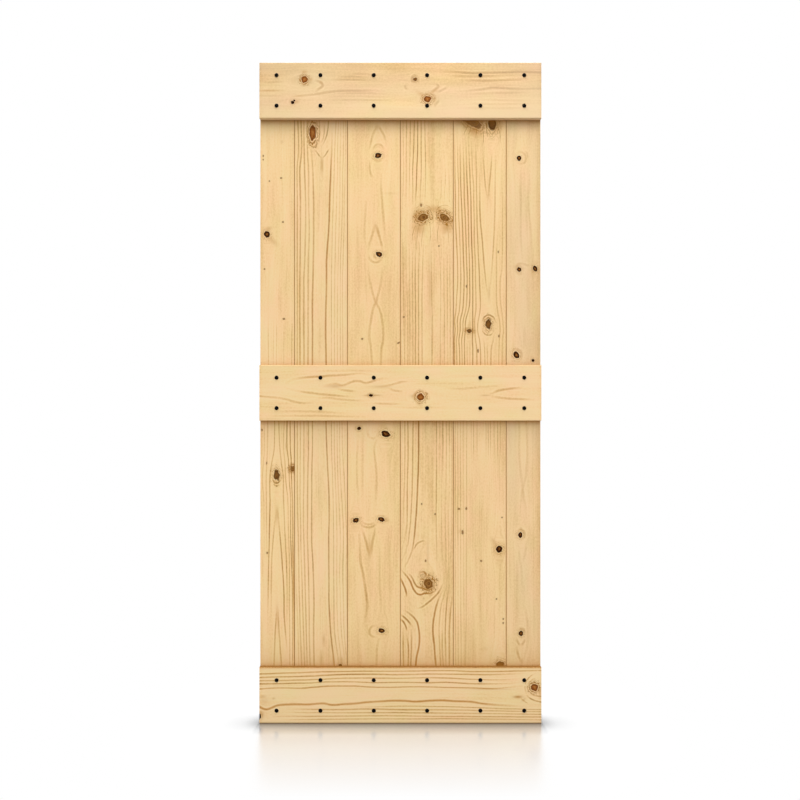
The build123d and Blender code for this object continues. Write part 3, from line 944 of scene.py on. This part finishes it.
def add_planks(material):
    """The six planks, each with its own wood."""
    spans = rail_spans()
    for name in PLANKS:
        low, high = node_box(name)
        first = name == PLANKS[0]
        last = name == PLANKS[-1]
        left = low[0]
        right = high[0] if last else high[0] - TONGUE_LENGTH
        half = (right - left) / 2
        length = -low[2]

        def place(across, depth, along):
            return np.column_stack([across, depth, -along])

        def edge_gap(across, along):
            if first:
                return across + half
            if last:
                return half - across
            return np.full_like(across, half)

        def painted_shade(across, along, behind):
            dark = np.zeros_like(along)
            for rail, (top, bottom) in spans.items():
                # Painted shadow on the plank below each rail
                dark += fading(along - bottom, UNDER_RAIL_PAINTED_SHADOW)
                # Painted shade on the plank just above each rail
                dark += fading(top - along, OVER_RAIL_PAINTED_SHADE[rail])
            # Painted shade on the plank, deepening down towards the bottom rail
            dark += fading(spans["bottom_rail"][0] - along, FOOT_PAINTED_SHADE)
            dark = np.where(behind < FRONT_DEPTH, dark, 0.0)
            # Painted shade in the joints between planks: light on the bevels, deep on the tongue and groove
            # sides
            joint = (across < 0) & (not first) | (across > 0) & (not last)
            sunk = (behind > JOINT_MARGIN) & (behind < PLANK_BACK - PLANK_FRONT - JOINT_MARGIN)
            edge = np.abs(across) > half - FRONT_V_BEVEL - BEVEL_MARGIN
            dark = np.where(joint & edge, np.maximum(dark, JOINT_EDGE_PAINTED_SHADE), dark)
            dark = np.where(joint & sunk, JOINT_PAINTED_SHADE, dark)
            # Painted shade on the end grain at the plank's top and bottom
            end_grain = (along < END_SKIN / 2) | (along > length - END_SKIN / 2)
            return np.where(end_grain, END_GRAIN_PAINTED_SHADE, dark)

        def hidden(along):
            return any(top <= along <= bottom for top, bottom in spans.values())

        stations = plank_stations(spans, length)
        loop = plank_section(name, left, right)
        no_set_back = np.zeros(len(stations))
        mesh = board_mesh(name, loop, stations, no_set_back, place, (left + right) / 2, PLANK_FRONT,
                          edge_gap, painted_shade, hidden)
        add_piece(f"{name}_board", mesh, material, name)


def add_rails(material):
    """The three rails, with their grain running across the door."""
    for name in RAILS:
        low, high = node_box(name)
        pairs = rounded_stations(low[0], high[0])
        stations = np.array([p[0] for p in pairs])
        set_backs = np.array([p[1] for p in pairs])
        loop = rail_section(low[2], high[2], low[1], high[1])
        half = (high[2] - low[2]) / 2

        def place(across, depth, along):
            return np.column_stack([along, depth, across])

        def edge_gap(across, along):
            return np.minimum(along - low[0], high[0] - along)

        def painted_shade(across, along, behind):
            # Painted shade on the rail's ledge on top and on its underside
            rounding = np.clip((np.abs(across) - half) / EDGE_ROUND + 1, 0, 1)
            ledge, sharpness = LEDGE_PAINTED_SHADE[name]
            dark = np.where(across > 0, ledge * rounding ** sharpness, UNDERSIDE_PAINTED_SHADE[name] * rounding)
            # Painted shade along the rail's front rims
            rim = fading(half - np.abs(across), RAIL_RIM_PAINTED_SHADE[name])
            return np.where(behind < EDGE_ROUND, np.maximum(dark, rim), dark)

        def hidden(along):
            return abs(along) > high[0] - EDGE_ROUND

        mesh = board_mesh(name, loop, stations, set_backs, place, (low[2] + high[2]) / 2, low[1],
                          edge_gap, painted_shade, hidden)
        add_piece(f"{name}_board", mesh, material, name)


# Screw heads

HEAD_SEGMENTS = 48
HEAD_PROFILE = [
    (6.5, 0.0), (6.5, 0.45), (6.4, 0.85), (6.15, 1.25), (5.7, 1.65), (5.05, 2.05),
    (4.25, 2.42), (3.65, 2.6), (3.1, 2.75), (2.65, 2.83), (2.2, 2.89), (1.8, 2.94),
    (1.4, 2.97), (1.0, 2.99), (0.6, 3.0),
]
RECESS_REACH = 2.8
RECESS_HALF_WIDTH = 0.6
RECESS_FLOOR = 1.4
RECESS_SLOPE = 0.35
SCREW_TURN_STEP = 41.0


def head_points(turn):
    """Points of one dome head, seat at the origin and facing -Y: rings up to the crown, then the tip."""
    points = []
    for radius, height in HEAD_PROFILE:
        for step in range(HEAD_SEGMENTS):
            angle = 2 * math.pi * step / HEAD_SEGMENTS
            x = radius * math.cos(angle)
            z = radius * math.sin(angle)
            top = recessed(x, z, height)
            c = math.cos(turn)
            s = math.sin(turn)
            points.append((c * x + s * z, -top, c * z - s * x))
    points.append((0.0, -recessed(0.0, 0.0, HEAD_PROFILE[-1][1]), 0.0))
    return points


def recessed(x, z, height):
    """Height of the head's surface where the cross recess is sunk into it."""
    in_arm = min(max(abs(x), abs(z)) - RECESS_REACH, 0.0) / RECESS_SLOPE
    off_arm = (min(abs(x), abs(z)) - RECESS_HALF_WIDTH) / RECESS_SLOPE
    inside = min(max(min(-in_arm, -off_arm), 0.0), 1.0)
    return height - RECESS_FLOOR * inside


def head_faces(start):
    """Faces of one head whose points begin at start."""
    rings = len(HEAD_PROFILE)
    faces = []
    for ring in range(rings - 1):
        for step in range(HEAD_SEGMENTS):
            after = (step + 1) % HEAD_SEGMENTS
            low = start + ring * HEAD_SEGMENTS
            high = low + HEAD_SEGMENTS
            faces.append((low + step, low + after, high + after, high + step))
    crown = start + (rings - 1) * HEAD_SEGMENTS
    tip = start + rings * HEAD_SEGMENTS
    faces += [(crown + step, crown + (step + 1) % HEAD_SEGMENTS, tip) for step in range(HEAD_SEGMENTS)]
    faces.append(tuple(start + step for step in reversed(range(HEAD_SEGMENTS))))
    return faces


def add_screws(material):
    """The screw heads, two to each plank at each rail, each stopped at its own angle."""
    number = 0
    for rail in RAILS:
        for plank in PLANKS:
            node = f"{rail}_{plank}_screws"
            low, high = node_box(node)
            radius = HEAD_PROFILE[0][0]
            middle = (low[0] + high[0]) / 2
            points = []
            faces = []
            for height in (high[2] - radius, low[2] + radius):
                faces += head_faces(len(points))
                shape = head_points(math.radians(number * SCREW_TURN_STEP))
                points += [(x + middle, y + high[1], z + height) for x, y, z in shape]
                number += 1
            mesh = bpy.data.meshes.new(f"{node}_heads")
            mesh.from_pydata(np.array(points) * MM, [], faces)
            mesh.shade_smooth()
            mesh.set_sharp_from_angle(angle=HEAD_SHARP_ANGLE)
            add_piece(f"{node}_heads", mesh, material, node)


# Material nodes

def srgb(red, green, blue):
    """A colour given as screen values from 0 to 255."""
    def linear(value):
        value /= 255
        return value / 12.92 if value <= 0.04045 else ((value + 0.055) / 1.055) ** 2.4
    return (linear(red), linear(green), linear(blue), 1.0)


class Tree:
    """Short calls for adding and linking nodes."""

    def __init__(self, owner):
        owner.use_nodes = True
        self.tree = owner.node_tree
        self.tree.nodes.clear()

    def node(self, kind, inputs=None, **settings):
        made = self.tree.nodes.new(kind)
        for name, value in settings.items():
            setattr(made, name, value)
        for name, value in (inputs or {}).items():
            self.feed(made.inputs[name], value)
        return made

    def feed(self, socket, value):
        if isinstance(value, bpy.types.NodeSocket):
            self.tree.links.new(value, socket)
        else:
            socket.default_value = value

    def math(self, operation, *values, clamp=False):
        made = self.node("ShaderNodeMath", operation=operation, use_clamp=clamp)
        for socket, value in zip(made.inputs, values):
            self.feed(socket, value)
        return made.outputs[0]

    def chain(self, operation, values):
        result = values[0]
        for value in values[1:]:
            result = self.math(operation, result, value)
        return result

    def total(self, *values):
        return self.chain("ADD", values)

    def product(self, *values):
        return self.chain("MULTIPLY", values)

    def length(self, x, y):
        return self.math("SQRT", self.total(self.math("POWER", x, 2.0), self.math("POWER", y, 2.0)))

    def scaled(self, value, low, high):
        """A noise value from 0 to 1 spread between low and high."""
        return self.math("MULTIPLY_ADD", value, high - low, low)

    def step(self, value, start, end, first=0.0, last=1.0):
        made = self.node("ShaderNodeMapRange", interpolation_type="SMOOTHSTEP")
        for name, number in zip(("From Min", "From Max", "To Min", "To Max"), (start, end, first, last)):
            self.feed(made.inputs[name], number)
        self.feed(made.inputs["Value"], value)
        return made.outputs["Result"]

    def fade(self, value, start, end):
        """1 up to start, falling smoothly to 0 at end."""
        return self.step(value, start, end, 1.0, 0.0)

    def vector(self, x, y, z):
        return self.node("ShaderNodeCombineXYZ", {"X": x, "Y": y, "Z": z}).outputs[0]

    def level(self, attribute):
        return self.node("ShaderNodeAttribute", attribute_name=attribute).outputs["Fac"]

    def parts(self, attribute):
        made = self.node("ShaderNodeAttribute", attribute_name=attribute)
        split = self.node("ShaderNodeSeparateXYZ", {"Vector": made.outputs["Vector"]})
        return split.outputs[0], split.outputs[1], split.outputs[2]

    def noise(self, vector, detail=2.0, roughness=0.5, scale=1.0):
        made = self.node("ShaderNodeTexNoise", {"Vector": vector, "Scale": scale, "Detail": detail})
        made.inputs["Roughness"].default_value = roughness
        return made.outputs["Fac"]

    def ramp(self, value, stops):
        made = self.node("ShaderNodeValToRGB", {"Fac": value})
        elements = made.color_ramp.elements
        while len(elements) < len(stops):
            elements.new(0.5)
        for element, (place, colour) in zip(elements, stops):
            element.position = place
            element.color = colour if isinstance(colour, tuple) else (colour, colour, colour, 1.0)
        return made.outputs["Color"]

    def mix(self, factor, first, second, blend="MIX"):
        made = self.node("ShaderNodeMix", data_type="RGBA", blend_type=blend)
        self.feed(made.inputs["Factor"], factor)
        self.feed(made.inputs[6], first)
        self.feed(made.inputs[7], second)
        return made.outputs[2]


# Pine

WOOD_STOPS = [
    (0.00, srgb(255, 223, 172)),
    (0.22, srgb(253, 216, 161)),
    (0.45, srgb(238, 197, 139)),
    (0.70, srgb(212, 167, 105)),
    (1.00, srgb(166, 117, 58)),
]
RING_STOPS = [(0.0, 0.0), (0.3, 0.03), (0.62, 0.24), (0.82, 0.75), (0.91, 1.0), (0.97, 0.7), (1.0, 0.0)]
DARK_KNOT_STOPS = [
    (0.00, srgb(160, 106, 48)),
    (0.30, srgb(118, 70, 26)),
    (0.55, srgb(62, 28, 4)),
    (1.00, srgb(36, 12, 0)),
]
OLIVE_KNOT_STOPS = [
    (0.00, srgb(92, 52, 20)),
    (0.20, srgb(128, 82, 36)),
    (0.45, srgb(168, 120, 60)),
    (0.70, srgb(128, 82, 34)),
    (0.85, srgb(112, 70, 28)),
    (1.00, srgb(134, 88, 38)),
]
AMBER_KNOT_STOPS = [
    (0.00, srgb(184, 120, 58)),
    (0.40, srgb(162, 98, 42)),
    (0.65, srgb(136, 76, 28)),
    (0.85, srgb(112, 58, 18)),
    (1.00, srgb(150, 92, 40)),
]
WARM_COLOUR = srgb(206, 142, 72)
STREAK_COLOUR = srgb(192, 132, 56)
HALO_COLOUR = srgb(168, 114, 44)
# Colours of the painted shade, from faint to deep
PAINTED_SHADE_STOPS = [
    (0.00, srgb(186, 128, 50)),
    (0.80, srgb(168, 110, 34)),
    (1.00, srgb(108, 72, 26)),
]
BLEACHED_COLOUR = srgb(236, 210, 172)
YELLOW_TINT = (0.95, 0.985, 0.91, 1.0)
PINK_TINT = (1.0, 0.95, 0.97, 1.0)
WARM_SHARE = 0.7
STREAK_SMEAR = (0.5, 1.5)

# Background rings
RING_WAVER = (-0.2, 0.2)
RING_WAVER_LENGTH = 130.0
RING_UNEVENNESS = (0.2, 1.6)
RING_UNEVEN_LENGTH = 260.0
YEAR_NOISE_STEP = 3.7

# Noises drawn out along the grain: fineness to a ring's width, length in millimetres, detail
LINE_WAVER_NOISE = (0.6, 60.0, 2.0)
LINE_UNEVEN_NOISE = (0.8, 200.0, 2.0)
FIBRE_NOISE = (1.8, 240.0, 2.0)
FINE_NOISE = (4.5, 60.0, 3.0)
MOTTLE_NOISE = (1.4, 7.0, 2.0)
CLOUD_NOISE = (0.25, 260.0, 2.0)
SMEAR_NOISE = (1.5, 40.0, 2.0)
GRAIN_NOISE_ROUGHNESS = 0.6

# Growth lines, in half widths
LINE_WAVER = (-0.4, 0.4)
LINE_UNEVENNESS = (0.5, 1.4)
LINE_CORE = (0.0, 1.5)
FLANK_START = (0.9, 1.5)
FLANK_END = (1.6, 3.0)

# How much each part of the figure darkens the wood
RING_SHARE = 0.5
LINE_SHARE = 0.95
FLANK_SHARE = -0.35
EYE_SHARE = 0.4
FIBRE_SPREAD = (-0.24, 0.24)
FINE_SPREAD = (-0.22, 0.22)
MOTTLE_SPREAD = (-0.26, 0.26)
CLOUD_SPREAD = (-0.04, 0.48)

# Knots: distances in knot radii, and the tints between which a look sets in
RIM_NOISE_SCALE = 1.4
RIM_ROUGHNESS = (0.75, 1.05)
RIM_START = 0.98
RIM_END = 1.08
RAGGED_SOFTNESS = 0.22
RAGGED_TINTS = (0.1, 0.3)
SMOOTH_TINTS = (0.5, 0.9)
OLIVE_TINTS = (0.0, 0.5)
AMBER_TINTS = (0.5, 1.0)
EYE_RING_RATE = 13.0
EYE_FADE = (1.1, 3.0)
PALE_RING = (1.0, 1.35)
RINGLESS_TINTS = (0.1, 0.4)
HALO_FADE = (1.1, 2.7)
HALO_SMEAR = (0.0, 1.5)
HALO_RINGS = (0.15, 1.5)
INNER_RING_RATE = 19.0
INNER_RING_DEPTH = (0.1, 0.22)
PATCH_NOISE_SCALE = 2.6
PATCH_SPREAD = (-0.6, 0.6)

# Surface: its roughness, and how far lines and knots polish it, raise it or sink it
FINE_ROUGHNESS = (0.52, 0.64)
LINE_POLISH = -0.06
KNOT_POLISH = -0.08
FINE_HEIGHT = 0.5
LINE_HEIGHT = 0.35
KNOT_HEIGHT = -0.6


def pine_rings(tree, grain, strength):
    """Darkness of the background rings: one soft line a year, of uneven strength."""
    side, back, along = grain
    waver = tree.noise(tree.vector(side, back, tree.math("DIVIDE", along, RING_WAVER_LENGTH)), 2.0)
    phase = tree.total(tree.length(side, back), tree.scaled(waver, *RING_WAVER))
    late = tree.ramp(tree.math("FRACT", phase), RING_STOPS)
    year = tree.product(tree.math("FLOOR", phase), YEAR_NOISE_STEP)
    uneven = tree.noise(tree.vector(year, tree.math("DIVIDE", along, RING_UNEVEN_LENGTH), 0.0), 1.0)
    return tree.product(late, tree.scaled(uneven, *RING_UNEVENNESS), strength)


def grain_noise(tree, grain, look):
    """Noise drawn out along the grain."""
    side, back, along = grain
    fineness, length, detail = look
    place = tree.vector(
        tree.product(side, fineness), tree.product(back, fineness), tree.math("DIVIDE", along, length))
    return tree.noise(place, detail, GRAIN_NOISE_ROUGHNESS)


def growth_lines(tree, grain):
    """Darkness of the plain growth lines, paleness of the wood beside them, and their warmth."""
    offset, strength, warm = tree.parts("lines")
    waver = grain_noise(tree, grain, LINE_WAVER_NOISE)
    gap = tree.math("ABSOLUTE", tree.total(offset, tree.scaled(waver, *LINE_WAVER)))
    uneven = grain_noise(tree, grain, LINE_UNEVEN_NOISE)
    plain = tree.product(strength, tree.scaled(uneven, *LINE_UNEVENNESS))
    core = tree.product(plain, tree.fade(gap, *LINE_CORE))
    flank = tree.product(plain, tree.step(gap, *FLANK_START), tree.fade(gap, *FLANK_END))
    return core, flank, warm


def knot_noise(tree, knot, scale, detail):
    """Noise about a knot, different for each one."""
    u, v, seed = knot
    return tree.noise(tree.vector(tree.product(u, scale), tree.product(v, scale), seed), detail)


def pine_material(name):
    """Bare, sanded knotty pine."""
    material = bpy.data.materials.new(name)
    tree = Tree(material)
    grain = tree.parts("grain")
    streak, tone, strength = tree.parts("marks")
    knot = tree.parts("knot")
    cover, halo, tint = tree.parts("knot_look")
    pale, coarse, hue = tree.parts("finish")
    painted_shade = tree.level("painted_shade")

    ragged = tree.product(tree.step(tint, *RAGGED_TINTS), tree.fade(tint, *SMOOTH_TINTS))
    rim = tree.math("SUBTRACT", knot_noise(tree, knot, RIM_NOISE_SCALE, 1.5), 0.5)
    rough = tree.product(rim, tree.scaled(ragged, *RIM_ROUGHNESS))
    radius = tree.product(tree.length(knot[0], knot[1]), tree.math("ADD", rough, 1.0))
    eye_wave = tree.scaled(tree.math("COSINE", tree.product(radius, EYE_RING_RATE)), 0.5, 1.0)
    eye_rings = tree.math("POWER", eye_wave, 2.0)
    eye_reach = tree.product(tree.fade(radius, *EYE_FADE), tree.level("knot_eye"))

    fine = grain_noise(tree, grain, FINE_NOISE)
    smear = grain_noise(tree, grain, SMEAR_NOISE)
    fibres = tree.scaled(grain_noise(tree, grain, FIBRE_NOISE), *FIBRE_SPREAD)
    line, flank, warm = growth_lines(tree, grain)
    density = tree.total(
        tree.product(pine_rings(tree, grain, strength), RING_SHARE),
        tree.product(line, LINE_SHARE),
        tree.product(flank, FLANK_SHARE),
        tree.product(tree.total(fibres, tree.scaled(fine, *FINE_SPREAD)), coarse),
        tree.scaled(grain_noise(tree, grain, MOTTLE_NOISE), *MOTTLE_SPREAD),
        tree.scaled(grain_noise(tree, grain, CLOUD_NOISE), *CLOUD_SPREAD),
        tree.product(eye_rings, eye_reach, EYE_SHARE),
        tone,
    )
    colour = tree.mix(pale, tree.ramp(density, WOOD_STOPS), BLEACHED_COLOUR)
    colour = tree.mix(1.0, colour, tree.mix(hue, YELLOW_TINT, PINK_TINT), "MULTIPLY")
    warmed = tree.math("MULTIPLY", tree.product(line, warm), WARM_SHARE, clamp=True)
    colour = tree.mix(warmed, colour, WARM_COLOUR)
    streaked = tree.math("MULTIPLY", streak, tree.scaled(smear, *STREAK_SMEAR), clamp=True)
    colour = tree.mix(streaked, colour, STREAK_COLOUR)

    from_ring = tree.math("MAXIMUM", tree.step(radius, *PALE_RING), tree.step(tint, *RINGLESS_TINTS))
    spread = tree.product(from_ring, tree.fade(radius, *HALO_FADE), halo)
    feathers = tree.product(tree.scaled(smear, *HALO_SMEAR), tree.scaled(eye_rings, *HALO_RINGS))
    colour = tree.mix(tree.math("MULTIPLY", spread, feathers, clamp=True), colour, HALO_COLOUR)

    inner_rings = tree.math("SINE", tree.product(radius, INNER_RING_RATE))
    ringed = tree.product(inner_rings, tree.scaled(ragged, *INNER_RING_DEPTH))
    patches = tree.scaled(knot_noise(tree, knot, PATCH_NOISE_SCALE, 2.0), *PATCH_SPREAD)
    # Painted shade of an open knot's hollow, which the mesh does not have: a tint below 0 darkens the knot
    # further
    hollow = tree.math("MAXIMUM", tree.product(tint, -1.0), 0.0)
    depth = tree.total(radius, ringed, patches, hollow)
    dark = tree.ramp(depth, DARK_KNOT_STOPS)
    knot_colour = tree.mix(tree.step(tint, *OLIVE_TINTS), dark, tree.ramp(depth, OLIVE_KNOT_STOPS))
    knot_colour = tree.mix(tree.step(tint, *AMBER_TINTS), knot_colour, tree.ramp(depth, AMBER_KNOT_STOPS))
    soft = tree.product(ragged, RAGGED_SOFTNESS)
    body = tree.fade(radius, tree.math("SUBTRACT", RIM_START, soft), tree.math("ADD", RIM_END, soft))
    inside = tree.math("MULTIPLY", body, cover, clamp=True)
    colour = tree.mix(inside, colour, knot_colour)
    # Painted shade, mixed over the wood's colour by its own amount
    colour = tree.mix(painted_shade, colour, tree.ramp(painted_shade, PAINTED_SHADE_STOPS))

    roughness = tree.total(
        tree.scaled(fine, *FINE_ROUGHNESS),
        tree.product(line, LINE_POLISH),
        tree.product(inside, KNOT_POLISH),
    )
    height = tree.total(
        tree.product(fine, FINE_HEIGHT),
        tree.product(line, LINE_HEIGHT),
        tree.product(inside, KNOT_HEIGHT),
    )
    bump = tree.node("ShaderNodeBump", {"Height": height, "Strength": 0.3, "Distance": 0.0004})
    shader = tree.node("ShaderNodeBsdfPrincipled", {
        "Base Color": colour,
        "Roughness": roughness,
        "Normal": bump.outputs["Normal"],
        "Specular IOR Level": 0.04,
    })
    tree.node("ShaderNodeOutputMaterial", {"Surface": shader.outputs[0]})
    return material


# Screw coating

COATING_STOPS = [(0.3, srgb(0, 0, 2)), (0.7, srgb(4, 4, 7))]
COATING_ROUGHNESS = (0.30, 0.45)
COATING_GRAIN_SCALE = 2500.0
COATING_BLOTCH_SCALE = 400.0


def screw_material():
    """Black satin coating, a little uneven, on steel."""
    material = bpy.data.materials.new("black_screw_coating")
    tree = Tree(material)
    place = tree.node("ShaderNodeTexCoord").outputs["Object"]
    grains = tree.noise(place, 3.0, 0.6, COATING_GRAIN_SCALE)
    blotch = tree.noise(place, 2.0, 0.5, COATING_BLOTCH_SCALE)
    bump = tree.node("ShaderNodeBump", {"Height": grains, "Strength": 0.15, "Distance": 0.0001})
    shader = tree.node("ShaderNodeBsdfPrincipled", {
        "Base Color": tree.ramp(blotch, COATING_STOPS),
        "Roughness": tree.scaled(grains, *COATING_ROUGHNESS),
        "Normal": bump.outputs["Normal"],
        "Specular IOR Level": 0.07,
    })
    tree.node("ShaderNodeOutputMaterial", {"Surface": shader.outputs[0]})
    return material


# Stage, light and camera, in metres and watts

WHITE = (1.0, 1.0, 1.0, 1.0)
FLOOR_HALF_SIZE = 7.0
FLOOR_GREY = (0.06, 0.06, 0.06, 1.0)

# Shade on the floor: close around the door, and as a haze beside it
SHADOW_REACH = 0.08
SHADOW_POWER = 1.1
SIDE_SHADOW_SHARE = 4.0
HAZE = 0.72
HAZE_REACH = 0.16
HAZE_POWER = 2.3
HAZE_LINE = -0.006
HAZE_HALF_DEPTH = 0.075

# The floor's faint mirroring: how far it reaches, and its strength at the door and beyond the contact
MIRROR_REACH = 0.43
MIRROR_AT_DOOR = 0.28
MIRROR_BEYOND = 0.62
CONTACT_REACH = 0.06
MIRROR_ROUGHNESS = 0.25

# Light of the sky by the sine of its height, and light thrown up by the floor by metres from the door
SKY_STOPS = [(0.0, 0.1), (0.4, 0.86), (0.75, 2.45), (1.0, 2.2)]
GLOW_STOPS = [(0.0, 0.37), (0.6, 0.5), (1.6, 1.18), (4.0, 0.0)]
GLOW_REACH = 4.0

# Lamps: place, the point each is aimed at, and power; both are long and narrow
LAMPS = {
    "top_lamp": ((-0.15, -0.32, 1.0), (-0.1, -0.2, -1.0), 25),
    "back_lamp": ((0.1, 0.4, 1.0), (0.1, 0.25, -1.0), 20),
}
LAMP_LENGTH = 2.2
LAMP_WIDTH = 0.4

CAMERA_PLACE = (-0.0013, -2.311, -1.0898)
CAMERA_LENS = 32.085
SENSOR_WIDTH = 36.0


def seen_ray(tree):
    """1 for the rays that show the backdrop: camera, glossy and transmission rays."""
    path = tree.node("ShaderNodeLightPath").outputs
    shown = tree.math("MAXIMUM", path["Is Camera Ray"], path["Is Glossy Ray"])
    return tree.math("MAXIMUM", shown, path["Is Transmission Ray"])


def falling(tree, gap, reach):
    """1 at the door, falling evenly to 0 at the reach."""
    return tree.math("SUBTRACT", 1.0, tree.math("DIVIDE", gap, reach), clamp=True)


def floor_material(low, high):
    """White floor: shaded and faintly mirroring near the door, plain white further off."""
    material = bpy.data.materials.new("white_floor")
    tree = Tree(material)
    place = tree.node("ShaderNodeNewGeometry").outputs["Position"]
    x, y, _ = tree.node("ShaderNodeSeparateXYZ", {"Vector": place}).outputs
    gap_x = tree.math("MAXIMUM", tree.math("SUBTRACT", tree.math("ABSOLUTE", x), high[0]), 0.0)
    before = tree.math("SUBTRACT", low[1], y)
    behind = tree.math("SUBTRACT", y, high[1])
    gap_y = tree.math("MAXIMUM", tree.math("MAXIMUM", before, behind), 0.0)
    gap = tree.length(gap_x, gap_y)
    shadow_gap = tree.length(tree.product(gap_x, SIDE_SHADOW_SHARE), gap_y)
    shadow = tree.math("POWER", falling(tree, shadow_gap, SHADOW_REACH), SHADOW_POWER)
    off_line = tree.math("ABSOLUTE", tree.math("SUBTRACT", y, HAZE_LINE))
    beside = tree.math("POWER", falling(tree, gap_x, HAZE_REACH), HAZE_POWER)
    haze = tree.product(beside, tree.step(off_line, 0.0, HAZE_HALF_DEPTH, HAZE, 0.0))
    shade = tree.math("MAXIMUM", shadow, haze)
    contact = tree.step(gap, 0.0, CONTACT_REACH, MIRROR_AT_DOOR, MIRROR_BEYOND)
    mirror = tree.product(falling(tree, gap, MIRROR_REACH), contact)

    lit = tree.node("ShaderNodeBsdfDiffuse", {"Color": FLOOR_GREY}).outputs[0]
    white = tree.node("ShaderNodeEmission", {"Color": WHITE, "Strength": 1.0}).outputs[0]
    gloss = tree.node("ShaderNodeBsdfGlossy", {"Color": WHITE, "Roughness": MIRROR_ROUGHNESS}).outputs[0]
    faded = tree.node("ShaderNodeMixShader", {0: shade, 1: white, 2: lit}).outputs[0]
    polished = tree.node("ShaderNodeMixShader", {0: mirror, 1: faded, 2: gloss}).outputs[0]
    glow_stops = [(metres / GLOW_REACH, level) for metres, level in GLOW_STOPS]
    glow_level = tree.ramp(tree.math("DIVIDE", gap, GLOW_REACH), glow_stops)
    glow = tree.node("ShaderNodeEmission", {"Color": glow_level, "Strength": 1.0}).outputs[0]
    shown = tree.node("ShaderNodeMixShader", {0: seen_ray(tree), 1: glow, 2: polished}).outputs[0]
    tree.node("ShaderNodeOutputMaterial", {"Surface": shown})
    return material


def add_floor():
    """A pale floor under the door."""
    low, high = cad_box
    size = FLOOR_HALF_SIZE
    corners = [(-size, -size, low[2]), (size, -size, low[2]), (size, size, low[2]), (-size, size, low[2])]
    mesh = bpy.data.meshes.new("floor")
    mesh.from_pydata(corners, [], [(0, 1, 2, 3)])
    floor = bpy.data.objects.new("floor", mesh)
    bpy.context.scene.collection.objects.link(floor)
    mesh.materials.append(floor_material(low, high))


def add_world():
    """Soft light from above; the backdrop shows white."""
    world = bpy.data.worlds.new("studio")
    bpy.context.scene.world = world
    tree = Tree(world)
    direction = tree.node("ShaderNodeTexCoord").outputs["Generated"]
    up = tree.node("ShaderNodeSeparateXYZ", {"Vector": direction}).outputs[2]
    sky = tree.ramp(up, SKY_STOPS)
    light = tree.node("ShaderNodeBackground", {"Color": sky, "Strength": 1.0}).outputs[0]
    white = tree.node("ShaderNodeBackground", {"Color": WHITE, "Strength": 1.0}).outputs[0]
    shown = tree.node("ShaderNodeMixShader", {0: seen_ray(tree), 1: light, 2: white}).outputs[0]
    tree.node("ShaderNodeOutputWorld", {"Surface": shown})


def add_lamps():
    """Long soft lamps high above the door's front and back."""
    for name, (place, target, watts) in LAMPS.items():
        data = bpy.data.lights.new(name, "AREA")
        data.shape = "RECTANGLE"
        data.size = LAMP_LENGTH
        data.size_y = LAMP_WIDTH
        data.energy = watts
        lamp = bpy.data.objects.new(name, data)
        lamp.location = place
        lamp.rotation_euler = (Vector(target) - Vector(place)).to_track_quat("-Z", "Y").to_euler()
        lamp.visible_camera = False
        bpy.context.scene.collection.objects.link(lamp)


def add_camera():
    """The photograph's view: level, square on, a little below the door's middle."""
    data = bpy.data.cameras.new("camera")
    data.sensor_width = SENSOR_WIDTH
    data.lens = CAMERA_LENS
    camera = bpy.data.objects.new("camera", data)
    camera.location = CAMERA_PLACE
    camera.rotation_euler = (math.pi / 2, 0.0, 0.0)
    bpy.context.scene.collection.objects.link(camera)
    bpy.context.scene.camera = camera


bpy.context.scene.view_settings.view_transform = "Standard"
add_planks(pine_material("plank_pine_wood"))
add_rails(pine_material("rail_pine_wood"))
add_screws(screw_material())
add_floor()
add_world()
add_lamps()
add_camera()
